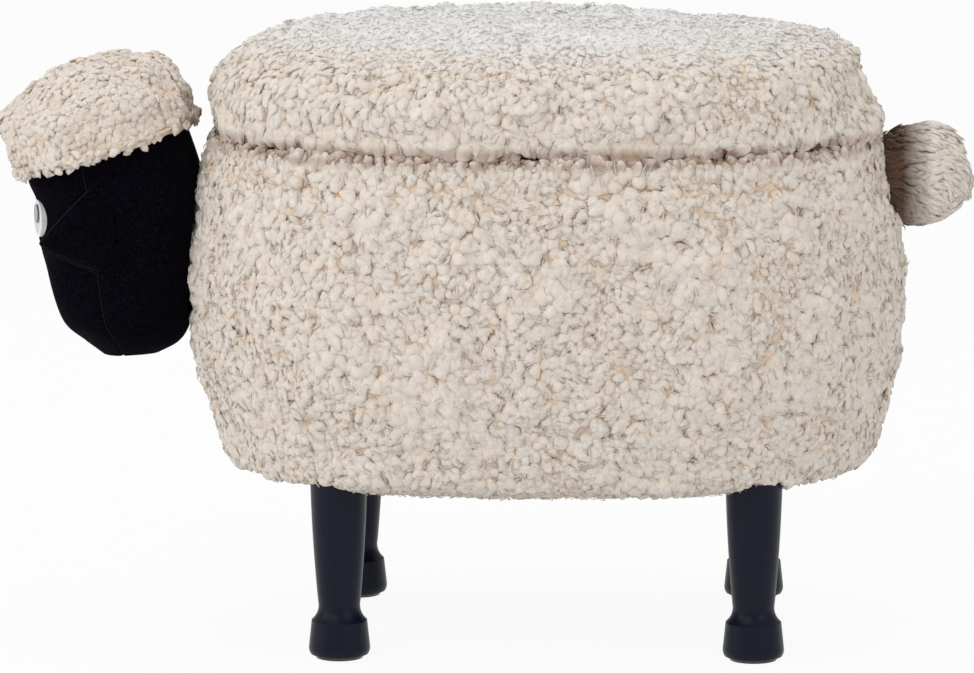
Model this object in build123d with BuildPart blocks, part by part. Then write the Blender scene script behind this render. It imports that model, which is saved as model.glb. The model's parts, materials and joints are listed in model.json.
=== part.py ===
from build123d import *
import os
from math import atan2, cos, degrees, radians, sin

# A storage footstool in the shape of a sheep, in millimetres. +Z is up and the origin is on the
# floor, under the middle of the outer box. The head is at -X and the tail at +X. The lid is
# hinged along the +Y side, so its front edge, at -Y, lifts.

os.makedirs("parts", exist_ok=True)

# Shared clearances and the overrun of every cut
overrun = 20.0
soft_clearance = 0.3
running_clearance = 0.05
bolt_clearance = 0.2

# Plan of the bent wall, four tangent arcs, measured to the wall's outer face
body_centre_x = 38.0
wall_half_length = 202.0
wall_half_depth = 135.0
wall_end_radius = 129.0
wall_thickness = 4.0

# Heights of the body's frame above the floor
board_underside = 115.0
bottom_board_thickness = 15.0
seam_height = 324.0
rim_ring_thickness = 15.0
rim_ring_width = 20.0
lid_board_thickness = 12.0

# Butt hinges, laid flat in the seam between the body and the lid
leaf_thickness = 1.5
leaf_face_gap = 0.5
leaf_width = 30.0
hinge_length = 60.0
hinge_spacing = 140.0
axis_setout = 6.5
knuckle_radius = 3.25
knuckle_count = 5
knuckle_gap = 0.3
pin_radius = 1.5
hinge_pocket_clearance = 0.75
screw_radius = 1.6
screw_head_radius = 3.2
screw_length = 11.0
screw_edge_distance = 5.5
screw_pitch = 22.0
screws_per_leaf = 3

# Padding of the body, as distances outside the wall at their heights
fleece_thickness = 8.0
seam_clearance = 0.15
seam_edge_radius = 12.0
seam_padding = 15.0
bulge_padding = 27.0
bulge_height_share = 0.62
foot_padding = 12.0
foot_rise = 20.0
underside_padding = 8.0
body_hem_setback = 30.0
rim_lap_setback = 10.0
dust_cover_thickness = 0.8
dust_cover_setback = 24.0

# Padding of the lid
lid_height = 74.0
lid_padding = 8.0
crown_setback = 100.0
shoulder_setback = 21.0
shoulder_drop = 14.0
shoulder_lean_share = 0.22
lid_side_height_share = 0.5
lid_side_inset = 2.0
lid_hem_setback = 14.0
lid_lining_thickness = 1.0

# Compartment
lining_thickness = 1.2
floor_panel_thickness = 3.0
upright_depth = 15.5
upright_width = 22.0
upright_end_angle = 28.0
upright_side_spacing = 110.0

# Legs
leg_spacing_x = 262.0
leg_spacing_y = 198.0
leg_shift_x = 3.0
leg_top_radius = 18.0
leg_swell = 0.7
ankle_radius = 13.4
ankle_height = 36.0
hoof_shoulder_radius = 17.6
hoof_shoulder_height = 24.0
hoof_radius = 19.4
hoof_wide_height = 7.0
hoof_sole_radius = 18.3
hoof_edge_share = 0.15
ankle_curve_share = 0.3
ankle_hollow_share = 0.3
glide_radius = 15.0
glide_thickness = 2.5
nail_radius = 1.2
nail_length = 14.0
leg_bolt_radius = 3.0
leg_bolt_depth = 25.0
tee_nut_barrel_radius = 4.0
tee_nut_flange_radius = 8.0
tee_nut_flange_thickness = 1.2
tee_nut_barrel_length = 11.0

# Head: the stuffed face under a cap of fleece
head_drop = 145.0
head_height = 187.0
head_front_x = -297.0
head_length = 125.0
head_width = 112.0
head_fabric_thickness = 1.2
section_corner_share = 0.8
cap_base_share = 0.583
cap_height = 86.0
cap_front_x = -311.8
cap_length = 127.0
cap_width = 140.0
cap_front_rise = 3.0
cap_back_rise = 41.0

# Sections from the bottom up, as shares of the height, the length, the length and the width:
# how high, where the front is, where the back is, and how wide
head_section_shares = (
    (0.000, 0.43, 0.74, 0.36),
    (0.050, 0.33, 0.85, 0.55),
    (0.120, 0.21, 0.91, 0.73),
    (0.250, 0.135, 0.96, 0.88),
    (0.430, 0.086, 1.00, 0.96),
    (0.535, 0.082, 1.00, 0.99),
    (0.630, 0.025, 0.97, 1.00),
    (0.800, 0.03, 0.88, 0.93),
    (0.930, 0.14, 0.78, 0.71),
    (1.000, 0.28, 0.66, 0.43),
)
cap_section_shares = (
    (0.00, 0.14, 0.98, 0.86),
    (0.13, 0.055, 0.99, 0.95),
    (0.34, 0.01, 1.00, 1.00),
    (0.54, 0.00, 1.00, 0.98),
    (0.75, 0.13, 0.96, 0.86),
    (0.90, 0.29, 0.90, 0.66),
    (1.00, 0.45, 0.80, 0.32),
)

# Ears: a root and a tip point in plan, their heights above the chin as shares of the head's
# height, and sections from the root to the tip as shares: how far, how high and how thick
ear_root = (-244.0, 48.0)
ear_tip = (-277.0, 88.0)
ear_root_height_share = 0.47
ear_tip_height_share = 0.445
ear_half_height = 29.0
ear_half_thickness = 10.5
ear_section_shares = (
    (0.00, 0.98, 1.00),
    (0.30, 0.78, 0.86),
    (0.70, 0.42, 0.56),
    (1.00, 0.12, 0.24),
)

# Eyes
eye_height_share = 0.4813
eye_spread = 24.0
eye_turn = 17.0
eye_setback = 12.3
eye_radius = 12.0
eye_sink = 5.0
eye_proud = 2.0
eye_edge_radius = 1.0
pupil_radius = 6.0
pupil_raise = 3.0
pupil_thickness = 0.8

# Head fixing, a plywood board behind the face with two bolts through the body
head_board_width = 54.0
head_board_height = 80.0
head_board_thickness = 9.0
head_board_height_share = 0.433
head_board_corner = 18.0
head_board_gap = 1.8
head_bolt_spacing = 50.0
head_bolt_radius = 3.0
head_bolt_cap_radius = 8.0
head_bolt_cap_thickness = 3.0
head_bolt_end = 2.0
washer_radius = 8.0
washer_thickness = 1.6
nut_width = 10.0
nut_thickness = 5.0

# Tail
tail_tip_x = 312.5
tail_half_length = 33.0
tail_half_width = 32.0
tail_half_height = 32.5
tail_drop = 25.0
tail_backing_share = 0.3

# Sizes that follow from the ones above
end_centre = wall_half_length - wall_end_radius
side_radius = (end_centre**2 + wall_half_depth**2 - wall_end_radius**2) / (
    2 * (wall_half_depth - wall_end_radius)
)
side_centre = side_radius - wall_half_depth
join_angle = degrees(atan2(end_centre, side_centre))
rim_height = seam_height - leaf_face_gap - leaf_thickness
lid_board_underside = seam_height + leaf_face_gap + leaf_thickness
board_top = board_underside + bottom_board_thickness
body_underside = board_underside - underside_padding
bulge_height = body_underside + bulge_height_share * (seam_height - body_underside)
foot_height = body_underside + foot_rise
lid_top_height = seam_height + lid_height
lid_side_height = seam_height + lid_side_height_share * lid_height
ring_inner_setback = wall_thickness + rim_ring_width
lining_setback = ring_inner_setback + soft_clearance
hinge_axis_y = wall_half_depth + seam_padding - seam_edge_radius + axis_setout
body_front_x = body_centre_x - wall_half_length
head_board_back_x = body_front_x - bulge_padding - head_fabric_thickness - head_board_gap
washer_seat_x = body_front_x + wall_thickness + soft_clearance
head_chin_height = seam_height - head_drop
head_board_centre_height = head_chin_height + head_board_height_share * head_height
cap_base_height = head_chin_height + cap_base_share * head_height
eye_height = head_chin_height + eye_height_share * head_height
ear_root_height = head_chin_height + ear_root_height_share * head_height
ear_tip_height = head_chin_height + ear_tip_height_share * head_height
tail_height = seam_height - tail_drop

# The upright section plane at the tail end: local x is the distance outside the wall's outer
# face and local y is the height
section_plane = Plane(
    origin=(body_centre_x + wall_half_length, 0, 0), x_dir=(1, 0, 0), z_dir=(0, -1, 0)
)

hinge_locations = [
    Location((body_centre_x - hinge_spacing / 2, hinge_axis_y, seam_height)),
    Location((body_centre_x + hinge_spacing / 2, hinge_axis_y, seam_height)),
]

leg_places = {
    "leg_front_left": (-1, -1),
    "leg_front_right": (-1, 1),
    "leg_back_left": (1, -1),
    "leg_back_right": (1, 1),
}

leg_points = [
    (
        body_centre_x + leg_shift_x + side_x * leg_spacing_x / 2,
        side_y * leg_spacing_y / 2,
    )
    for side_x, side_y in leg_places.values()
]

head_bolt_points = [
    (0, head_board_centre_height - head_bolt_spacing / 2),
    (0, head_board_centre_height + head_bolt_spacing / 2),
]


def oval(outset):
    """The plan's closed line, outset from the wall's outer face."""
    with BuildLine() as outline:
        CenterArc((body_centre_x + end_centre, 0), wall_end_radius + outset, 0, 90 - join_angle)
        CenterArc(
            (body_centre_x, -side_centre), side_radius + outset, 90 - join_angle, 2 * join_angle
        )
        CenterArc(
            (body_centre_x - end_centre, 0),
            wall_end_radius + outset,
            90 + join_angle,
            180 - 2 * join_angle,
        )
        CenterArc(
            (body_centre_x, side_centre), side_radius + outset, 270 - join_angle, 2 * join_angle
        )
        CenterArc(
            (body_centre_x + end_centre, 0),
            wall_end_radius + outset,
            270 + join_angle,
            90 - join_angle,
        )
    return outline.wire()


def body_skin(inset):
    """The body's side in section, from the seam edge down to the underside."""
    edge_centre_height = seam_height - seam_clearance - seam_edge_radius
    with BuildLine() as skin:
        CenterArc(
            (seam_padding - seam_edge_radius, edge_centre_height), seam_edge_radius - inset, 0, 90
        )
        side = ThreePointArc(
            (seam_padding - inset, edge_centre_height),
            (bulge_padding - inset, bulge_height),
            (foot_padding - inset, foot_height),
        )
        half_turn = (side % 1) + Vector(-1, 0)
        corner_drop = (side @ 1).Y - body_underside - inset
        corner_end = (side @ 1) - half_turn * (corner_drop / half_turn.Y)
        TangentArc(side @ 1, corner_end, tangent=side % 1)
    return skin.edges(), corner_end


def lid_skin(inset):
    """The lid in section, from the flat of its crown down to the seam edge."""
    edge_centre_height = seam_height + seam_clearance + seam_edge_radius
    with BuildLine() as skin:
        crown = TangentArc(
            (-crown_setback, lid_top_height - inset),
            (
                -shoulder_setback - inset * shoulder_lean_share,
                lid_top_height - shoulder_drop - inset,
            ),
            tangent=(1, 0),
        )
        shoulder = TangentArc(
            crown @ 1, (lid_padding - lid_side_inset - inset, lid_side_height), tangent=crown % 1
        )
        TangentArc(
            shoulder @ 1, (lid_padding - inset, edge_centre_height), tangent=shoulder % 1
        )
        CenterArc(
            (lid_padding - seam_edge_radius, edge_centre_height),
            seam_edge_radius - inset,
            270,
            90,
        )
    return skin.edges()


def stuffed_form(section_shares, base_height, height, front_x, length, width, inset):
    """A swelling form of rounded sections, inset from its outer face."""
    with BuildPart() as form:
        for height_share, front_share, back_share, width_share in section_shares:
            section_height = base_height + height_share * height + inset * (1 - 2 * height_share)
            section_front = front_x + front_share * length + inset
            section_back = front_x + back_share * length - inset
            half_width = width / 2 * width_share - inset
            section_length = section_back - section_front
            corner = section_corner_share * min(section_length / 2, half_width)
            with BuildSketch(Plane.XY.offset(section_height)):
                with Locations(((section_front + section_back) / 2, 0)):
                    RectangleRounded(section_length, 2 * half_width, corner)
        loft()
    return form.part


def head_form(inset):
    """The stuffed head as one solid, inset from its outer face."""
    return stuffed_form(
        head_section_shares,
        head_chin_height,
        head_height,
        head_front_x,
        head_length,
        head_width,
        inset,
    )


def body_section(inset):
    """The padded side of the body in section, closed at the inner edge of its hem."""
    with BuildSketch() as section:
        skin, corner_end = body_skin(inset)
        with BuildLine():
            add(skin)
            top_height = seam_height - seam_clearance - inset
            Polyline(
                (seam_padding - seam_edge_radius, top_height),
                (-body_hem_setback, top_height),
                (-body_hem_setback, corner_end.Y),
                corner_end,
            )
        make_face()
    return section.sketch


def lid_section(inset):
    """The padded side of the lid in section, closed at the edge of its flat crown."""
    with BuildSketch() as section:
        with BuildLine():
            add(lid_skin(inset))
            bottom_height = seam_height + seam_clearance + inset
            Polyline(
                (lid_padding - seam_edge_radius, bottom_height),
                (-crown_setback, bottom_height),
                (-crown_setback, lid_top_height - inset),
            )
        make_face()
    return section.sketch


def frame_section(low, high, outer=0.0, inner=-2 * crown_setback):
    """A box in the section plane that stands for the wall or a board, to cut padding by."""
    with BuildSketch() as section:
        with Locations((inner, low)):
            Rectangle(outer - inner, high - low, align=(Align.MIN, Align.MIN))
    return section.sketch


def body_cutter(grow):
    """The outer layer of the body, grown outwards, that the head and the tail are cut by."""
    with BuildPart() as cutter:
        with BuildSketch(section_plane):
            add(body_section(-grow))
        sweep(path=oval(0))
    return cutter.part


def ellipsoid(half_length, half_width, half_height, centre):
    """A ball stretched to three half sizes about its centre."""
    ball = Sphere(1, mode=Mode.PRIVATE)
    stretched = scale(ball, by=(half_length, half_width, half_height), mode=Mode.PRIVATE)
    return Location(centre) * stretched


def head_filling(inset):
    """The room inside the head's cloth, closed off along the body."""
    return head_form(inset) - body_cutter(soft_clearance + inset)


def tail_filling(inset):
    """The room inside the tail's fleece, closed off along the body by a thin backing."""
    ball = ellipsoid(
        tail_half_length - inset,
        tail_half_width - inset,
        tail_half_height - inset,
        (tail_tip_x - tail_half_length, 0, tail_height),
    )
    return ball - body_cutter(soft_clearance + tail_backing_share * inset)


def hinge_pockets():
    """The room for both hinges in the padding round the seam."""
    clearance = hinge_pocket_clearance
    with BuildPart() as pockets:
        with Locations(*hinge_locations):
            Cylinder(
                knuckle_radius + clearance, hinge_length + 2 * clearance, rotation=(0, 90, 0)
            )
            Box(
                hinge_length + 2 * clearance,
                leaf_width + clearance,
                2 * (leaf_thickness + leaf_face_gap),
                align=(Align.CENTER, Align.MAX, Align.CENTER),
            )
    return pockets.part


def hinge_screw_points():
    """The places of all the screws of one side of the hinges, in plan."""
    screw_y = hinge_axis_y - leaf_width + screw_edge_distance
    return [
        (location.position.X + (index - (screws_per_leaf - 1) / 2) * screw_pitch, screw_y)
        for location in hinge_locations
        for index in range(screws_per_leaf)
    ]


def screw_holes(face_height, up):
    """The pilot holes of one side's hinge screws, from the wood's face."""
    with BuildPart() as holes:
        with BuildSketch(Plane.XY.offset(face_height)):
            with Locations(*hinge_screw_points()):
                Circle(screw_radius + running_clearance)
        extrude(amount=up * (screw_length - leaf_thickness + bolt_clearance))
    return holes.part


def hinge_screws(face_height, up):
    """Countersunk screws, their heads flush with the leaf's face."""
    with BuildPart() as screws:
        for x, y in hinge_screw_points():
            head_plane = Plane(origin=(x, y, face_height), z_dir=(0, 0, up))
            with BuildSketch(head_plane):
                Circle(screw_head_radius)
            with BuildSketch(head_plane.offset(leaf_thickness)):
                Circle(screw_radius)
            loft()
            with BuildSketch(head_plane.offset(leaf_thickness)):
                Circle(screw_radius)
            extrude(amount=screw_length - leaf_thickness)
    return screws.part


def head_bolt_holes():
    """Two round cutters along X, where the head bolts pass."""
    length = head_length + overrun
    with BuildPart() as holes:
        with BuildSketch(Plane.YZ.offset(body_front_x + wall_thickness + overrun)):
            with Locations(*head_bolt_points):
                Circle(head_bolt_radius + bolt_clearance)
        extrude(amount=-length)
    return holes.part


# Bottom board, with the holes of the tee nuts
with BuildPart() as bottom_board:
    with BuildSketch(Plane.XY.offset(board_underside)):
        make_face(oval(-wall_thickness))
        with Locations(*leg_points):
            Circle(tee_nut_barrel_radius + bolt_clearance, mode=Mode.SUBTRACT)
    extrude(amount=bottom_board_thickness)
bottom_board.part.label = "bottom_board"
export_step(bottom_board.part, "parts/bottom_board.step")

# Rim ring at the top of the wall
with BuildPart() as rim_ring:
    with BuildSketch(Plane.XY.offset(rim_height)):
        make_face(oval(-wall_thickness))
        make_face(oval(-ring_inner_setback), mode=Mode.SUBTRACT)
    extrude(amount=-rim_ring_thickness)
    add(screw_holes(rim_height, -1), mode=Mode.SUBTRACT)
rim_ring.part.label = "rim_ring"
export_step(rim_ring.part, "parts/rim_ring.step")

# Bent plywood wall round the board and the ring, with the head bolt holes
with BuildPart() as body_wall:
    with BuildSketch(Plane.XY.offset(board_underside)):
        make_face(oval(0))
        make_face(oval(-wall_thickness), mode=Mode.SUBTRACT)
    extrude(amount=rim_height - board_underside)
    add(head_bolt_holes(), mode=Mode.SUBTRACT)
body_wall.part.label = "body_wall"
export_step(body_wall.part, "parts/body_wall.step")

# Uprights that tie the board to the ring behind the lining
upright_setback = wall_thickness + 2 * soft_clearance + upright_depth / 2
with BuildPart() as wall_uprights:
    with BuildSketch(Plane.XY.offset(board_top)):
        for side in (-1, 1):
            with Locations((body_centre_x + side * end_centre, 0)):
                with PolarLocations(
                    wall_end_radius - upright_setback,
                    2,
                    start_angle=90 - side * 90 - upright_end_angle,
                    angular_range=4 * upright_end_angle,
                ):
                    Rectangle(upright_depth, upright_width)
            side_angle = degrees(atan2(upright_side_spacing / 2, side_centre))
            with Locations((body_centre_x, -side * side_centre)):
                with PolarLocations(
                    side_radius - upright_setback,
                    2,
                    start_angle=side * 90 - side_angle,
                    angular_range=4 * side_angle,
                ):
                    Rectangle(upright_depth, upright_width)
    extrude(amount=rim_height - rim_ring_thickness - board_top)
wall_uprights.part.label = "wall_uprights"
export_step(wall_uprights.part, "parts/wall_uprights.step")

# Foam round the wall, thickest at mid height
foam_inset = fleece_thickness + soft_clearance
with BuildPart() as body_foam_wrap:
    with BuildSketch(section_plane):
        add(body_section(foam_inset))
        add(frame_section(body_underside, seam_height, soft_clearance), mode=Mode.SUBTRACT)
    sweep(path=oval(0))
    add(head_bolt_holes(), mode=Mode.SUBTRACT)
body_foam_wrap.part.label = "body_foam_wrap"
export_step(body_foam_wrap.part, "parts/body_foam_wrap.step")

# Fleece over the foam, lapped over the rim and turned under the board
with BuildPart() as body_fleece_cover:
    with BuildSketch(section_plane):
        add(body_section(0))
        add(body_section(fleece_thickness), mode=Mode.SUBTRACT)
        add(frame_section(board_underside, rim_height), mode=Mode.SUBTRACT)
        add(frame_section(rim_height, seam_height, -rim_lap_setback), mode=Mode.SUBTRACT)
    sweep(path=oval(0))
    add(head_bolt_holes(), mode=Mode.SUBTRACT)
    add(hinge_pockets(), mode=Mode.SUBTRACT)
    with BuildSketch(Plane.XY.offset(board_underside)):
        with Locations(*leg_points):
            Circle(leg_top_radius + soft_clearance)
    extrude(amount=-overrun, mode=Mode.SUBTRACT)
body_fleece_cover.part.label = "body_fleece_cover"
export_step(body_fleece_cover.part, "parts/body_fleece_cover.step")

# Cloth under the stool, with holes where the legs pass
with BuildPart() as dust_cover:
    with BuildSketch(Plane.XY.offset(body_underside)):
        make_face(oval(-dust_cover_setback))
        with Locations(*leg_points):
            Circle(leg_top_radius + soft_clearance, mode=Mode.SUBTRACT)
    extrude(amount=-dust_cover_thickness)
dust_cover.part.label = "dust_cover"
export_step(dust_cover.part, "parts/dust_cover.step")

# Lining round the compartment, folded over the rim ring
with BuildPart() as compartment_lining:
    with BuildSketch(Plane.XY.offset(board_top)):
        make_face(oval(-lining_setback))
        make_face(oval(-lining_setback - lining_thickness), mode=Mode.SUBTRACT)
    extrude(amount=rim_height - board_top)
    with BuildSketch(Plane.XY.offset(rim_height)):
        make_face(oval(-rim_lap_setback - soft_clearance))
        make_face(oval(-lining_setback - lining_thickness), mode=Mode.SUBTRACT)
    extrude(amount=lining_thickness)
    add(hinge_pockets(), mode=Mode.SUBTRACT)
compartment_lining.part.label = "compartment_lining"
export_step(compartment_lining.part, "parts/compartment_lining.step")

# Covered panel on the floor of the compartment
with BuildPart() as compartment_floor:
    with BuildSketch(Plane.XY.offset(board_top)):
        make_face(oval(-lining_setback - lining_thickness - soft_clearance))
    extrude(amount=floor_panel_thickness)
compartment_floor.part.label = "compartment_floor"
export_step(compartment_floor.part, "parts/compartment_floor.step")

# Turned legs, each with its bore for the hanger bolt and a pilot hole for the glide's nail
for leg_name, (side_x, side_y) in leg_places.items():
    leg_x = body_centre_x + leg_shift_x + side_x * leg_spacing_x / 2
    leg_y = side_y * leg_spacing_y / 2
    hoof_flare = hoof_shoulder_radius - ankle_radius
    with BuildPart() as leg:
        with BuildSketch(Plane(origin=(leg_x, leg_y, 0), x_dir=(1, 0, 0), z_dir=(0, -1, 0))):
            with BuildLine():
                Polyline(
                    (0, board_underside),
                    (0, glide_thickness),
                    (hoof_sole_radius, glide_thickness),
                )
                foot = ThreePointArc(
                    (hoof_sole_radius, glide_thickness),
                    (
                        hoof_radius - hoof_edge_share * (hoof_radius - hoof_sole_radius),
                        (glide_thickness + hoof_wide_height) / 2,
                    ),
                    (hoof_radius, hoof_wide_height),
                )
                Line(foot @ 1, (hoof_shoulder_radius, hoof_shoulder_height))
                ankle = ThreePointArc(
                    (hoof_shoulder_radius, hoof_shoulder_height),
                    (
                        ankle_radius + ankle_hollow_share * hoof_flare,
                        hoof_shoulder_height
                        + ankle_curve_share * (ankle_height - hoof_shoulder_height),
                    ),
                    (ankle_radius, ankle_height),
                )
                shaft = ThreePointArc(
                    ankle @ 1,
                    (
                        (ankle_radius + leg_top_radius) / 2 + leg_swell,
                        (ankle_height + board_underside) / 2,
                    ),
                    (leg_top_radius, board_underside),
                )
                Line(shaft @ 1, (0, board_underside))
            make_face()
        revolve(axis=Axis((leg_x, leg_y, 0), (0, 0, 1)))
        with BuildSketch(Plane.XY.offset(board_underside)):
            with Locations((leg_x, leg_y)):
                Circle(leg_bolt_radius + running_clearance)
        extrude(amount=-leg_bolt_depth - bolt_clearance, mode=Mode.SUBTRACT)
        with BuildSketch(Plane.XY.offset(glide_thickness)):
            with Locations((leg_x, leg_y)):
                Circle(nail_radius + running_clearance)
        extrude(amount=nail_length + bolt_clearance, mode=Mode.SUBTRACT)
    leg.part.label = leg_name
    export_step(leg.part, f"parts/{leg_name}.step")

# Nail-on glides under the legs
with BuildPart() as foot_glides:
    with BuildSketch():
        with Locations(*leg_points):
            Circle(glide_radius)
    extrude(amount=glide_thickness)
    with BuildSketch(Plane.XY.offset(glide_thickness)):
        with Locations(*leg_points):
            Circle(nail_radius)
    extrude(amount=nail_length)
foot_glides.part.label = "foot_glides"
export_step(foot_glides.part, "parts/foot_glides.step")

# Hanger bolts from the legs into the tee nuts
bolt_top_height = board_top + tee_nut_flange_thickness
with BuildPart() as leg_bolts:
    with BuildSketch(Plane.XY.offset(board_underside - leg_bolt_depth)):
        with Locations(*leg_points):
            Circle(leg_bolt_radius)
    extrude(amount=bolt_top_height - board_underside + leg_bolt_depth)
leg_bolts.part.label = "leg_bolts"
export_step(leg_bolts.part, "parts/leg_bolts.step")

# Tee nuts driven into the bottom board from above
with BuildPart() as leg_tee_nuts:
    with BuildSketch(Plane.XY.offset(board_top)):
        with Locations(*leg_points):
            Circle(tee_nut_flange_radius)
    extrude(amount=tee_nut_flange_thickness)
    with BuildSketch(Plane.XY.offset(board_top)):
        with Locations(*leg_points):
            Circle(tee_nut_barrel_radius)
    extrude(amount=-tee_nut_barrel_length)
    with BuildSketch(Plane.XY.offset(bolt_top_height)):
        with Locations(*leg_points):
            Circle(leg_bolt_radius + running_clearance)
    extrude(amount=-bottom_board_thickness - overrun, mode=Mode.SUBTRACT)
leg_tee_nuts.part.label = "leg_tee_nuts"
export_step(leg_tee_nuts.part, "parts/leg_tee_nuts.step")

# Lid board
with BuildPart() as lid_board:
    with BuildSketch(Plane.XY.offset(lid_board_underside)):
        make_face(oval(0))
    extrude(amount=lid_board_thickness)
    add(screw_holes(lid_board_underside, 1), mode=Mode.SUBTRACT)
lid_board.part.label = "lid_board"
export_step(lid_board.part, "parts/lid_board.step")

# Foam of the lid, over the board and round its edge
lid_board_top = lid_board_underside + lid_board_thickness
with BuildPart() as lid_foam:
    with BuildSketch(section_plane):
        add(lid_section(foam_inset))
        add(
            frame_section(seam_height, lid_board_top + soft_clearance, soft_clearance),
            mode=Mode.SUBTRACT,
        )
    sweep(path=oval(0))
    with BuildSketch(Plane.XY.offset(lid_board_top + soft_clearance)):
        make_face(oval(-crown_setback))
    extrude(amount=lid_top_height - foam_inset - lid_board_top - soft_clearance)
lid_foam.part.label = "lid_foam"
export_step(lid_foam.part, "parts/lid_foam.step")

# Fleece of the lid, turned under the board
with BuildPart() as lid_fleece_cover:
    with BuildSketch(section_plane):
        add(lid_section(0))
        add(lid_section(fleece_thickness), mode=Mode.SUBTRACT)
        add(frame_section(lid_board_underside, lid_board_top), mode=Mode.SUBTRACT)
        add(
            frame_section(seam_height, lid_board_underside, -lid_hem_setback), mode=Mode.SUBTRACT
        )
    sweep(path=oval(0))
    with BuildSketch(Plane.XY.offset(lid_top_height)):
        make_face(oval(-crown_setback))
    extrude(amount=-fleece_thickness)
    add(hinge_pockets(), mode=Mode.SUBTRACT)
lid_fleece_cover.part.label = "lid_fleece_cover"
export_step(lid_fleece_cover.part, "parts/lid_fleece_cover.step")

# Lining under the lid board
with BuildPart() as lid_lining:
    with BuildSketch(Plane.XY.offset(lid_board_underside)):
        make_face(oval(-lid_hem_setback - soft_clearance))
    extrude(amount=-lid_lining_thickness)
    add(hinge_pockets(), mode=Mode.SUBTRACT)
lid_lining.part.label = "lid_lining"
export_step(lid_lining.part, "parts/lid_lining.step")

# Butt hinges: the leaf on the body has the outer knuckles, the leaf on the lid the ones between
knuckle_length = (hinge_length - (knuckle_count - 1) * knuckle_gap) / knuckle_count
knuckle_step = knuckle_length + knuckle_gap
for hinge_name, hinge_location in zip(("front", "back"), hinge_locations):
    hinge_x = hinge_location.position.X
    for leaf_side, up, first in (("body", -1, 0), ("lid", 1, 1)):
        own_places = [
            (hinge_x + (index - (knuckle_count - 1) / 2) * knuckle_step, hinge_axis_y, seam_height)
            for index in range(knuckle_count)
            if index % 2 == first
        ]
        other_places = [
            (hinge_x + (index - (knuckle_count - 1) / 2) * knuckle_step, hinge_axis_y, seam_height)
            for index in range(knuckle_count)
            if index % 2 != first
        ]
        face_height = seam_height + up * leaf_face_gap
        with BuildPart() as leaf:
            with BuildSketch(Plane.XY.offset(face_height)):
                with Locations((hinge_x, hinge_axis_y)):
                    Rectangle(hinge_length, leaf_width, align=(Align.CENTER, Align.MAX))
            extrude(amount=up * leaf_thickness)
            with Locations(*other_places):
                Cylinder(
                    knuckle_radius + 2 * knuckle_gap,
                    knuckle_length + 2 * knuckle_gap,
                    rotation=(0, 90, 0),
                    mode=Mode.SUBTRACT,
                )
            with Locations(*own_places):
                Cylinder(knuckle_radius, knuckle_length, rotation=(0, 90, 0))
            with Locations((hinge_x, hinge_axis_y, seam_height)):
                Cylinder(
                    pin_radius + running_clearance,
                    hinge_length + overrun,
                    rotation=(0, 90, 0),
                    mode=Mode.SUBTRACT,
                )
            for x, y in hinge_screw_points():
                head_plane = Plane(origin=(x, y, face_height), z_dir=(0, 0, up))
                with BuildSketch(head_plane):
                    Circle(screw_head_radius + running_clearance)
                with BuildSketch(head_plane.offset(leaf_thickness)):
                    Circle(screw_radius + running_clearance)
                loft(mode=Mode.SUBTRACT)
        leaf_name = f"hinge_{hinge_name}_{leaf_side}_leaf"
        leaf.part.label = leaf_name
        export_step(leaf.part, f"parts/{leaf_name}.step")
    with BuildPart() as hinge_pin:
        with Locations(hinge_location):
            Cylinder(pin_radius, hinge_length, rotation=(0, 90, 0))
    hinge_pin.part.label = f"hinge_{hinge_name}_pin"
    export_step(hinge_pin.part, f"parts/hinge_{hinge_name}_pin.step")

# Screws of the hinges, down into the rim ring and up into the lid board
for screws_name, up in (("hinge_body_screws", -1), ("hinge_lid_screws", 1)):
    screws = hinge_screws(seam_height + up * leaf_face_gap, up)
    screws.label = screws_name
    export_step(screws, f"parts/{screws_name}.step")

# Black cloth of the head, closed against the body's fleece
with BuildPart() as head_cover:
    add(head_form(0))
    add(body_cutter(soft_clearance), mode=Mode.SUBTRACT)
    add(head_filling(head_fabric_thickness), mode=Mode.SUBTRACT)
    add(head_bolt_holes(), mode=Mode.SUBTRACT)
head_cover.part.label = "head_cover"
export_step(head_cover.part, "parts/head_cover.step")

# Board inside the back of the head
head_board_front_x = head_board_back_x - head_board_thickness
with BuildPart() as head_board:
    with BuildSketch(Plane.YZ.offset(head_board_back_x)):
        with Locations((0, head_board_centre_height)):
            RectangleRounded(head_board_width, head_board_height, head_board_corner)
        with Locations(*head_bolt_points):
            Circle(head_bolt_radius + bolt_clearance, mode=Mode.SUBTRACT)
    extrude(amount=-head_board_thickness)
head_board.part.label = "head_board"
export_step(head_board.part, "parts/head_board.step")

# Round-headed bolts from the head board through the body's wall
nut_end_x = washer_seat_x + washer_thickness + nut_thickness
with BuildPart() as head_bolts:
    with BuildSketch(Plane.YZ.offset(head_board_front_x)):
        with Locations(*head_bolt_points):
            Circle(head_bolt_radius)
    extrude(amount=nut_end_x + head_bolt_end - head_board_front_x)
    with BuildSketch(Plane.YZ.offset(head_board_front_x)):
        with Locations(*head_bolt_points):
            Circle(head_bolt_cap_radius)
    extrude(amount=-head_bolt_cap_thickness)
    fillet(
        head_bolts.faces().sort_by(Axis.X)[:2].edges(), head_bolt_cap_thickness - soft_clearance
    )
head_bolts.part.label = "head_bolts"
export_step(head_bolts.part, "parts/head_bolts.step")

# Washers and nuts on the inside of the wall
with BuildPart() as head_washers:
    with BuildSketch(Plane.YZ.offset(washer_seat_x)):
        with Locations(*head_bolt_points):
            Circle(washer_radius)
            Circle(head_bolt_radius + bolt_clearance, mode=Mode.SUBTRACT)
    extrude(amount=washer_thickness)
head_washers.part.label = "head_washers"
export_step(head_washers.part, "parts/head_washers.step")

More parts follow.
